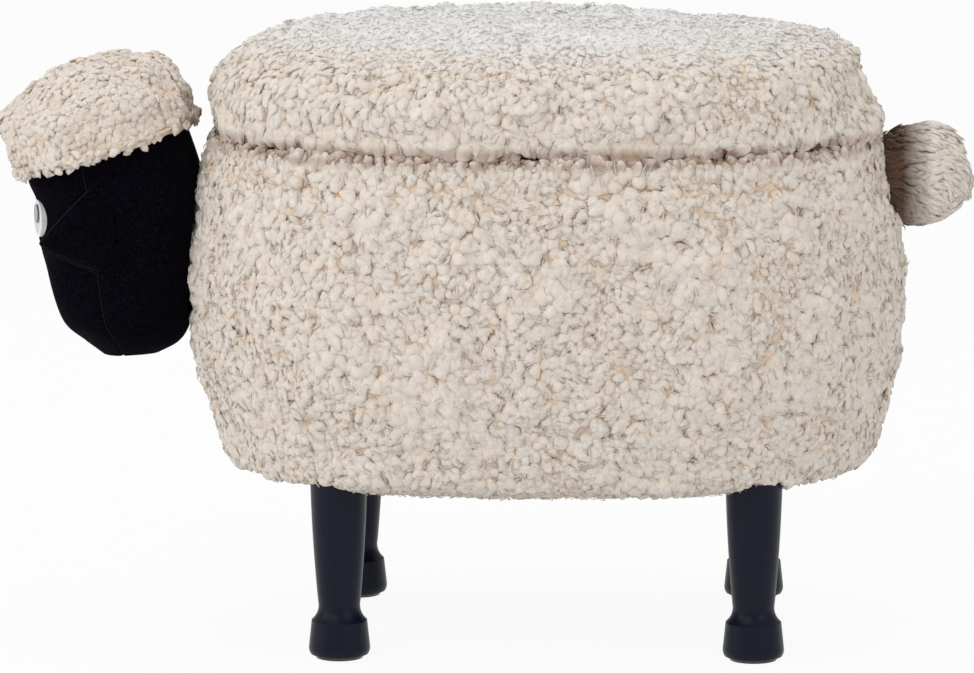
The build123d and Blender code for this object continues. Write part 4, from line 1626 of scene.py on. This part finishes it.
@dataclass
class SheepHead:
    """The stuffed face and its fleece cap."""

    padding: Padding
    neck_outset: Callable[[Array], Array]
    neck_gap: float = 0.0010
    face_levels: int = 150
    face_columns: int = 240
    face_fill: float = 0.9
    head_radius: float = 0.0550
    seam_turn: float = math.radians(100)
    seam_width: float = 0.0016
    seam_depth: float = 0.0011
    seam_trim: int = 2
    thread_radius: float = 0.00030
    creases: Swelling = Swelling(0.0007, 0.035, 12)
    crease_stretch: tuple = (1.0, 1.0, 0.7)
    crown_tuck: float = 0.0060
    cap_height: float = 0.0860
    cap_front_rise: float = 0.0030
    cap_back_rise: float = 0.0410
    cap_backing: float = 0.0052
    cap_roundness: float = 2.4
    cap_levels: int = 60
    cap_columns: int = 160
    cap_fill: float = 0.8
    cap_swellings: tuple = (Swelling(0.0015, 0.020, 21),)
    bare_slope: float = -0.75
    corner_length: float = 0.0200
    corner_height: float = 0.0015
    cap_fall: tuple = (-0.3, 0.0, -0.7)
    fineness: float = 0.85
    style: LockStyle = LockStyle(
        length=0.0074, width=0.0066, flatness=0.42, lift=0.0014, spacing=0.0025
    )
    face_shares: tuple = (
        (0.000, 0.43, 0.74, 0.36),
        (0.050, 0.33, 0.85, 0.55),
        (0.120, 0.21, 0.91, 0.73),
        (0.250, 0.135, 0.96, 0.88),
        (0.430, 0.086, 1.00, 0.96),
        (0.535, 0.082, 1.00, 0.99),
        (0.630, 0.025, 0.97, 1.00),
        (0.800, 0.03, 0.88, 0.93),
        (0.930, 0.14, 0.78, 0.71),
        (1.000, 0.28, 0.66, 0.43),
    )
    cap_shares: tuple = (
        (0.00, 0.14, 0.98, 0.86),
        (0.13, 0.055, 0.99, 0.95),
        (0.34, 0.01, 1.00, 1.00),
        (0.54, 0.00, 1.00, 0.98),
        (0.75, 0.13, 0.96, 0.86),
        (0.90, 0.29, 0.90, 0.66),
        (1.00, 0.45, 0.80, 0.32),
    )

    def clear_of_body(self, points: Array) -> Array:
        """Draws in the points that would lie inside the body's wool.

        Args:
            points: The points, in any grid.

        Returns:
            The points, those behind the body's front moved up to it.
        """
        oval = self.padding.oval
        reach = oval.end_radius + self.neck_outset(points[..., 2]) + self.neck_gap
        across = np.clip(reach**2 - points[..., 1] ** 2, 0, None)
        front = oval.centre_x - oval.end_centre - np.sqrt(across)
        drawn = points.copy()
        drawn[..., 0] = np.minimum(points[..., 0], front)
        return drawn

    def build_face(self, cloth: bpy.types.Material, thread: bpy.types.Material) -> None:
        """Makes the stuffed face of black cloth, with a seam down each side.

        Args:
            cloth: Its finish.
            thread: The finish of the seams, lighter than the cloth as painted highlight.
        """
        low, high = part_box("head_cover")
        form = StuffedForm(low, high, self.face_shares)
        rows = StuffedForm.closed(form.rows(self.face_levels, self.face_columns))
        surface = Surface.grid(rows)
        turn = np.linspace(0, math.tau, self.face_columns, endpoint=False)
        away = np.minimum(np.abs(turn - self.seam_turn), np.abs(math.tau - turn - self.seam_turn))
        round_length = self.head_radius * np.tile(away, len(rows))
        groove = -self.seam_depth * np.exp(-((round_length / self.seam_width) ** 2))
        creases = self.creases.at(surface.points * self.crease_stretch)
        moved = surface.points + (groove + creases)[:, None] * surface.normals()
        moved[:, 2] = np.minimum(moved[:, 2], high.z - self.crown_tuck)
        moved = self.clear_of_body(moved)
        seams = np.argsort(away)[:2]
        lines = moved.reshape(-1, len(turn), 3)[:, seams].transpose(1, 0, 2)
        trimmed = lines[:, self.seam_trim : -self.seam_trim]
        add_rolls("head_seams", trimmed, self.thread_radius, thread)
        face = add_mesh("head_face", moved, [surface.faces])
        settle(face, cloth, Body.STOOL, Slot.BLACK_CLOTH, ("head_cover", "head_stuffing"))

    def build_cap(self, wool: bpy.types.Material) -> None:
        """Makes the fleece cap, its lower edge on a slope that rises towards the body.

        Args:
            wool: Its finish.
        """
        low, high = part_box("wool_cap")
        corner = Vector((low.x, low.y, high.z - self.cap_height))
        form = StuffedForm(corner, high, self.cap_shares, self.cap_roundness)
        base = form.low.z
        rows = form.rows(self.cap_levels, self.cap_columns)
        share = np.clip((rows[..., 0] - low.x) / (high.x - low.x), 0, 1)
        rise = self.cap_front_rise + (self.cap_back_rise - self.cap_front_rise) * share
        rows[..., 2] = np.maximum(rows[..., 2], base + rise)
        surface = Surface.grid(StuffedForm.closed(rows))
        inner = surface.points - self.cap_backing * surface.normals()
        inner[:, 2] = np.maximum(inner[:, 2], base + self.cap_front_rise)
        backing = Surface(self.clear_of_body(inner), surface.faces)
        outside = backing.swollen(self.cap_swellings)
        cap = add_mesh("cap_padding", outside.points, [outside.faces])
        settle(cap, wool, Body.STOOL, Slot.FLEECE, ("wool_cap",))
        slopes = outside.normals()[outside.faces].mean(axis=1)[:, 2]
        middles = outside.points[outside.faces].mean(axis=1)
        rear = (middles[:, 0] > high.x - self.corner_length) & (
            middles[:, 2] < base + self.cap_back_rise + self.corner_height
        )
        grown = Surface(outside.points, outside.faces[(slopes > self.bare_slope) & ~rear])
        coats = (Fleece("cap_wool", self.style),)
        dress_in_wool(coats, grown, self.cap_lie, wool, Body.STOOL, self.cap_size)

    def cap_lie(self, roots: Array, normals: Array) -> Array:
        """The cap's wool falls forwards on the top and down at the sides."""
        return np.tile(self.cap_fall, (len(roots), 1))

    def cap_size(self, roots: Array) -> Array:
        """The cap's locks are finer than the body's."""
        return np.full(len(roots), self.fineness)


@dataclass(frozen=True)
class SheepEar:
    """One ear, a leaf of two layers of cloth.

    Attributes:
        side: The side that it is on.
        root: The middle of its root, for the ear on the +Y side.
        tip: Its tip, for the same ear.
        half_height: Half its height at the root.
        points: The number of points along it.
        levels: The number of points up it.
        taper: How its height falls towards the tip: 1 is straight.
        tip_share: The share of the height that the tip keeps.
        thinning: The share of its thickness that is lost at the tip.
        arch: How square its layers' bulges are.
        rear_bulge: How far the rear layer bulges.
        front_bulge: How far the front layer bulges.
        lip: The gap between the layers at the lower edge.
        lip_top: The level under which that gap starts.
        rear_short: The share that the rear layer is shorter by at its foot.
        slit: The level of the fold between the layers.
        hem_radius: The hems' radius.
        fill: How full it is stuffed; not used.
    """

    side: Side
    root: tuple = (-0.2440, 0.0480, 0.2669)
    tip: tuple = (-0.2770, 0.0880, 0.2622)
    half_height: float = 0.0290
    points: int = 30
    levels: int = 21
    taper: float = 0.85
    tip_share: float = 0.05
    thinning: float = 0.93
    arch: float = 0.75
    rear_bulge: float = 0.0112
    front_bulge: float = 0.0060
    lip: float = 0.0011
    lip_top: float = 0.9
    rear_short: float = 0.05
    slit: float = -0.86
    hem_radius: float = 0.00038
    fill: float = 0.3

    def build(self, cloth: bpy.types.Material, thread: bpy.types.Material) -> None:
        """Makes the ear, sewn in the face's side seam, with a hem on each edge.

        Args:
            cloth: Its finish.
            thread: The finish of its hems, lighter than the cloth as painted highlight.
        """
        name = f"ear_{self.side.name.lower()}"
        mirror = np.array([1, self.side.value, 1])
        root, tip = np.array(self.root) * mirror, np.array(self.tip) * mirror
        reach = tip - root
        rear = unit(np.array([abs(reach[1]), -reach[0] * self.side.value, 0]))
        along = np.linspace(0, 1, self.points)[:, None]
        half = self.half_height * ((1 - along) ** self.taper + self.tip_share)
        middle = root + along * reach
        level = np.linspace(1, -1, self.levels)
        bulge = np.sqrt(1 - self.thinning * along) * (1 - level**2) ** self.arch
        parted = self.lip * (level < self.lip_top)

        def at(levels: Array, depths: Array) -> Array:
            """Places points on the leaf.

            Args:
                levels: How far up the leaf, from -1 to 1.
                depths: How far to the rear.

            Returns:
                The points, as rows along the ear.
            """
            return (
                middle[:, None]
                + (half * levels)[..., None] * (0, 0, 1)
                + np.broadcast_to(depths, (len(along), len(levels)))[..., None] * rear
            )

        short = level * (1 - self.rear_short * (level < 0))
        rear_rows = at(short, parted + self.rear_bulge * bulge)
        slit_rows = at(np.array([self.slit]), np.array([0.0]))
        front_depth = -parted - self.front_bulge * bulge
        front_rows = at(level[::-1], front_depth[:, ::-1])[:, :-1]
        rows = np.concatenate([rear_rows, slit_rows, front_rows], axis=1)
        rows = StuffedForm.closed(rows if self.side is Side.LEFT else rows[:, ::-1])
        surface = Surface.grid(rows)
        ear = add_mesh(name, surface.points, [surface.faces])
        settle(ear, cloth, Body.STOOL, Slot.BLACK_CLOTH, (name,))
        edges = (rear_rows[:, 0], rear_rows[:, -1], front_rows[:, 0])
        add_rolls(f"{name}_hems", edges, self.hem_radius, thread)


@dataclass
class SheepTail:
    """The stuffed ball of long wool at the back."""

    backing_depth: float = 0.0022
    tip_gap: float = 0.0052
    half_length: float = 0.0328
    lowering: float = 0.0035
    pole_turn: float = 0.03
    levels: int = 40
    columns: int = 64
    swellings: tuple = (Swelling(0.0010, 0.03, 31),)
    fall: tuple = (1.2, 0.0, -0.45)
    fill: float = 0.7
    style: LockStyle = LockStyle(
        length=0.0125, width=0.0046, lift=0.0017, spacing=0.0023, wander=0.35, flow=0.25, sides=5
    )

    def build(self, wool: bpy.types.Material) -> None:
        """Makes the ball and the wool on it.

        Args:
            wool: The wool's finish.
        """
        low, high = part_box("tail_cover")
        middle = (low + high) / 2
        centre_x = high.x - self.tip_gap - self.half_length
        centre = np.array((centre_x, middle.y, middle.z - self.lowering))
        half_width = (high.y - low.y) / 2 - self.backing_depth
        half_height = (high.z - low.z) / 2 - self.backing_depth
        polar = np.linspace(self.pole_turn, math.pi - self.pole_turn, self.levels)
        turn = np.linspace(0, math.tau, self.columns, endpoint=False)
        rows = np.stack(
            [
                -np.cos(polar)[:, None] * np.ones(self.columns),
                np.sin(polar)[:, None] * np.cos(turn),
                np.sin(polar)[:, None] * np.sin(turn),
            ],
            axis=-1,
        )
        ball = Surface.grid(centre + rows * np.array((self.half_length, half_width, half_height)))
        surface = ball.swollen(self.swellings)
        made = add_mesh("tail_padding", surface.points, [surface.faces])
        settle(made, wool, Body.STOOL, Slot.FLEECE, ("tail_cover", "tail_stuffing"))
        coats = (Fleece("tail_wool", self.style),)
        dress_in_wool(coats, surface, self.hanging, wool, Body.STOOL)

    def hanging(self, roots: Array, normals: Array) -> Array:
        """The tail's wool runs away from the body and a little down."""
        return np.tile(self.fall, (len(roots), 1))


@dataclass
class Linings:
    """The cloths inside the compartment, under the lid and under the stool."""

    padding: Padding
    thickness: float = 0.0010
    oval_share: float = 0.84
    panel_shrinks: tuple = (0.0005, 0.003, 0.015, 0.2, 0.4, 0.6, 0.8, 0.9, 0.97, 1.0)
    rim_fold: float = 0.0154
    opening_girth: float = 0.97
    wall_levels: int = 14
    gather_top: float = 0.02
    gather_height: float = 0.0006
    gather_counts: tuple = (34, 21)
    wall_slack: float = 0.0012
    dust_cover_sag: float = 0.0015

    def panel(
        self, name: str, cloth: bpy.types.Material, body: Body, sag: float
    ) -> None:
        """Makes a flat panel of cloth in the place of its CAD node.

        Args:
            name: The node's name.
            cloth: The finish.
            body: The body that it rides on.
            sag: How far its middle hangs.
        """
        low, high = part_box(name)
        oval = self.padding.oval
        outset = (high.x - low.x) / 2 - oval.half_length
        shrinks, ring = self.panel_shrinks, self.padding.ring
        under = [ring(outset, low.z - sag * (1 - s * s), s) for s in shrinks]
        over = [ring(outset, high.z - sag * (1 - s * s), s) for s in shrinks[::-1]]
        surface = Surface.grid(np.array(under + over), close_rows=True)
        made = add_mesh(f"{name}_cloth", surface.points, [surface.faces])
        settle(made, cloth, body, Slot.LINING_CLOTH, (name,))

    def wall(self, cloth: bpy.types.Material) -> None:
        """Makes the lining round the compartment, gathered a little and folded over the rim.

        Args:
            cloth: The finish.
        """
        low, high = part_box("compartment_lining")
        oval = self.padding.oval
        rim_outset = (high.x - low.x) / 2 - oval.half_length
        wall_outset = rim_outset - self.rim_fold
        levels = np.linspace(low.z, high.z - self.thickness, self.wall_levels)
        outer = [(wall_outset, height) for height in levels]
        fold = [(rim_outset, high.z - self.thickness), (rim_outset, high.z)]
        inner = [(wall_outset - self.thickness, height) for height in (high.z, *levels[::-1])]
        rows = self.padding.swept([*outer, *fold, *inner])
        middle = np.array([oval.centre_x, 0])
        turn = np.arctan2(rows[..., 1], rows[..., 0] - oval.centre_x)
        hang = np.clip((high.z - rows[..., 2]) / self.gather_top, 0, 1)
        many, few = self.gather_counts
        waves = np.sin(many * turn) + np.sin(few * turn + 1)
        gather = self.gather_height * hang * waves - self.wall_slack * hang
        rows[..., :2] += unit(rows[..., :2] - middle) * gather[..., None]
        surface = Surface.grid(rows, close_rows=True)
        made = add_mesh("compartment_lining_cloth", surface.points, [surface.faces])
        settle(made, cloth, Body.STOOL, Slot.LINING_CLOTH, ("compartment_lining",))


# The place that the stool is photographed in


@dataclass(frozen=True)
class PhotoView:
    """The photograph's viewpoint."""

    azimuth: float = math.radians(2.28)
    distance: float = 4.362
    height: float = 0.9217
    pitch: float = math.radians(9.53)
    roll: float = math.radians(-0.13)
    focal_pixels: float = 6879.0
    picture_width: float = 974.0
    sensor: float = 36.0
    far_end: float = 60.0

    def place(self) -> None:
        """Makes the camera and gives it to the scene."""
        data = bpy.data.cameras.new("camera")
        data.sensor_width = self.sensor
        data.sensor_fit = "HORIZONTAL"
        data.lens = self.focal_pixels / self.picture_width * self.sensor
        data.clip_end = self.far_end
        a, p, r = self.azimuth, self.pitch, self.roll
        ahead = Vector((-math.sin(a) * math.cos(p), math.cos(a) * math.cos(p), -math.sin(p)))
        level = Vector((math.cos(a), math.sin(a), 0))
        above = level.cross(ahead)
        right = level * math.cos(r) + above * math.sin(r)
        up = above * math.cos(r) - level * math.sin(r)
        camera = bpy.data.objects.new("camera", data)
        turn = Matrix((right, up, -ahead)).transposed().to_4x4()
        spot = Vector((math.sin(a) * self.distance, -math.cos(a) * self.distance, self.height))
        camera.matrix_world = Matrix.Translation(spot) @ turn
        bpy.context.scene.collection.objects.link(camera)
        bpy.context.scene.camera = camera


@dataclass(frozen=True)
class Lamp:
    """A square soft lamp that points at the stool.

    Attributes:
        name: Its name.
        spot: Where it is.
        size: The length of its side.
        power: Its power in watts.
        aim: The point that it shines at.
    """

    name: str
    spot: tuple
    size: float
    power: float
    aim: tuple = (0.0, 0.0, 0.22)

    def hang(self) -> None:
        """Makes the lamp."""
        data = bpy.data.lights.new(self.name, "AREA")
        data.size = self.size
        data.energy = self.power
        lamp = bpy.data.objects.new(self.name, data)
        lamp.location = self.spot
        ahead = Vector(self.aim) - Vector(self.spot)
        lamp.rotation_euler = ahead.to_track_quat("-Z", "Y").to_euler()
        bpy.context.scene.collection.objects.link(lamp)


@dataclass
class Studio:
    """A white floor, white surroundings and soft lamps.

    Attributes:
        floor_size: The length of the floor's side.
        floor_tone: The grey of the floor itself.
        floor_glow: The share of plain white in what the camera sees of it.
        sky_strength: How strong the light from all round is.
        lamps: The lamps.
    """

    floor_size: float = 40.0
    floor_tone: float = 0.9
    floor_glow: float = 0.93
    sky_strength: float = 0.52
    lamps: tuple = (
        Lamp("key_lamp", (-1.6, -2.6, 2.6), 2.4, 26.0),
        Lamp("fill_lamp", (2.4, -2.2, 1.4), 2.0, 15.0),
        Lamp("top_lamp", (0.0, 0.3, 3.0), 2.2, 20.0),
        Lamp("head_lamp", (-2.9, -0.9, 1.1), 2.0, 18.0),
    )

    def build(self) -> None:
        """Makes the floor, the surroundings and the lamps."""
        self._floor()
        self._sky()
        for lamp in self.lamps:
            lamp.hang()

    def _floor(self) -> None:
        """A wide floor that is white to the camera and keeps the stool's shadow."""
        tone = (self.floor_tone, self.floor_tone, self.floor_tone, 1)
        shader = Shader("floor_white", Base_Color=tone, Roughness=1.0, Specular_IOR_Level=0.0)
        sight = shader.add("LightPath").outputs
        straight, mirrored = sight["Is Camera Ray"], sight["Is Glossy Ray"]
        seen = shader.add("Math", operation="MAXIMUM", first=straight, second=mirrored)
        part = shader.add("Math", operation="MULTIPLY", first=seen, second=self.floor_glow)
        mix = shader.add("MixShader")
        glow = shader.add("Emission", Strength=1.0)
        for socket, given in zip(mix.inputs, (part, shader.surface, glow)):
            shader.give(socket, given)
        shader.give(shader.tree.nodes["Material Output"].inputs["Surface"], mix)
        half = self.floor_size / 2
        corners = np.array([(-half, -half, 0), (half, -half, 0), (half, half, 0), (-half, half, 0)])
        floor = add_mesh("floor", corners, [np.array([[0, 1, 2, 3]])], smooth=False)
        floor.data.materials.append(shader.material)

    def _sky(self) -> None:
        """Even white light from all round, and white to the camera."""
        world = bpy.data.worlds.new("surroundings")
        world.use_nodes = True
        bpy.context.scene.world = world
        nodes = Nodes(world.node_tree)
        sky = nodes.tree.nodes["Background"]
        nodes.give(sky.inputs["Strength"], self.sky_strength)
        nodes.give(sky.inputs["Color"], (1, 1, 1, 1))
        white = nodes.add("Background", Strength=1.0)
        mix = nodes.add("MixShader")
        seen = nodes.add("LightPath").outputs["Is Camera Ray"]
        for socket, given in zip(mix.inputs, (seen, sky, white)):
            nodes.give(socket, given)
        nodes.give(nodes.tree.nodes["World Output"].inputs["Surface"], mix)


def dress_nodes(finishes: dict[str, bpy.types.Material]) -> None:
    """Gives each CAD node that stays its finish, by the record's slot.

    Args:
        finishes: The materials by name, one for each slot among them.
    """
    slots = {row["node"]: row["material_slot"] for row in frame["record"]["subparts"]}
    for name, node in frame["nodes"].items():
        if node.hide_render:
            continue
        node.data.materials.clear()
        node.data.materials.append(finishes[slots[name]])
        LOG.info("%s keeps its shape, finished as %s", name, slots[name])


def make_finishes(seam_height: float) -> dict[str, bpy.types.Material]:
    """Makes every finish.

    Args:
        seam_height: The height of the seam, where the wool takes a brown band of painted shade.

    Returns:
        The materials by name. The record's slots are among the names.
    """
    finishes = (
        # fleece: the brown band at the seam is partly the brown backing cloth and partly painted shade
        # in the seam's groove
        WoolFinish("fleece", band_middle=seam_height, band_half=0.008),
        # cap_wool: the brown band at the cap's back is painted shade where the cap meets the body
        WoolFinish(
            "cap_wool", deep=(0.40, 0.29, 0.21, 1), band_axis="X", band_middle=-0.176, band_half=0.018
        ),
        WoolFinish(
            "tail_wool",
            # tip and warm are lighter than the body's wool: painted light on the tail's lit side
            tip=(0.905, 0.835, 0.770, 1),
            warm=(0.890, 0.790, 0.705, 1),
            # tail_wool: the dark brown band at the tail's neck is painted shade where the tail meets
            # the body
            deep=(0.13, 0.072, 0.045, 1),
            band_axis="X",
            band_middle=0.256,
            band_half=0.029,
            band_reach=(2.0, 1.0),
        ),
        ClothFinish(
            "black_cloth",
            (0.0006, 0.0004, 0.0014, 1),
            (0.0058, 0.0046, 0.0092, 1),
            grain=700.0,
            sheen=0.01,
            specular=0.02,
        ),
        # hem: lighter than the black cloth, painted highlight along the hems and seams
        ClothFinish(
            "hem", (0.024, 0.023, 0.030, 1), (0.012, 0.012, 0.016, 1), sheen=0.0, specular=0.02
        ),
        ClothFinish("lining_cloth", (0.022, 0.022, 0.024, 1), (0.04, 0.04, 0.042, 1)),
        ClothFinish("foam", (0.85, 0.80, 0.62, 1), (0.78, 0.72, 0.55, 1)),
        ClothFinish("fibre_filling", (0.88, 0.88, 0.86, 1), (0.8, 0.8, 0.78, 1)),
        WoodFinish("plywood", (0.62, 0.46, 0.28, 1), (0.42, 0.28, 0.15, 1)),
        WoodFinish(
            "painted_wood",
            (0.0055, 0.0088, 0.0205, 1),
            (0.0038, 0.0062, 0.0150, 1),
            stretch=(40.0, 40.0, 5.0),
            roughness=0.36,
            specular=0.17,
        ),
        PlainFinish(
            "zinc_steel",
            (0.62, 0.62, 0.60, 1),
            (0.54, 0.54, 0.53, 1),
            metallic=1.0,
            roughness=0.32,
        ),
        PlainFinish(
            "black_plastic",
            (0.012, 0.012, 0.013, 1),
            (0.018, 0.018, 0.019, 1),
            roughness=0.2,
            coat=0.5,
        ),
        EyeFinish("white_plastic"),
    )
    return {finish.name: finish.make() for finish in finishes}


def build_stool(padding: Padding, finishes: dict[str, bpy.types.Material]) -> None:
    """Builds all the soft pieces.

    Args:
        padding: What the body's and the lid's padding share.
        finishes: The materials by name.
    """
    cover_low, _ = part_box("body_fleece_cover")
    wall_low, wall_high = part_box("body_wall")
    _, lid_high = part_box("lid_fleece_cover")
    board_low, board_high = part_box("lid_board")
    # thread carries the hem finish, lighter than the cloth as painted highlight
    fleece, black, thread = (finishes[name] for name in ("fleece", "black_cloth", "hem"))
    body = StoolBody(padding, cover_low.z, wall_low.z, wall_high.z)
    body.build(fleece)
    StoolLid(padding, lid_high.z, board_low.z, board_high.z).build(fleece)
    side_line = np.array([point for point in body.outline() if point[0] > 0])
    head = SheepHead(padding, lambda z: np.interp(z, side_line[:, 1], side_line[:, 0]))
    head.build_face(black, thread)
    head.build_cap(finishes["cap_wool"])
    for side in Side:
        SheepEar(side).build(black, thread)
    SheepTail().build(finishes["tail_wool"])
    linings = Linings(padding)
    lining = finishes["lining_cloth"]
    linings.wall(lining)
    linings.panel("lid_lining", lining, Body.LID, 0.0)
    linings.panel("dust_cover", lining, Body.STOOL, linings.dust_cover_sag)


def main() -> None:
    """Builds the stool's pieces, its light and its camera."""
    logging.basicConfig(level=logging.INFO, format="%(message)s")
    wall_low, wall_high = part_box("body_wall")
    _, cover_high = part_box("body_fleece_cover")
    lid_low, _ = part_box("lid_fleece_cover")
    half_length, half_depth = (wall_high.x - wall_low.x) / 2, (wall_high.y - wall_low.y) / 2
    oval = Oval((wall_low.x + wall_high.x) / 2, half_length, half_depth)
    padding = Padding(oval, (cover_high.z + lid_low.z) / 2)
    finishes = make_finishes(padding.seam_height)
    build_stool(padding, finishes)
    dress_nodes(finishes)
    Studio().build()
    PhotoView().place()
    bpy.context.scene.view_settings.view_transform = "Standard"


if __name__ == "__main__":
    main()
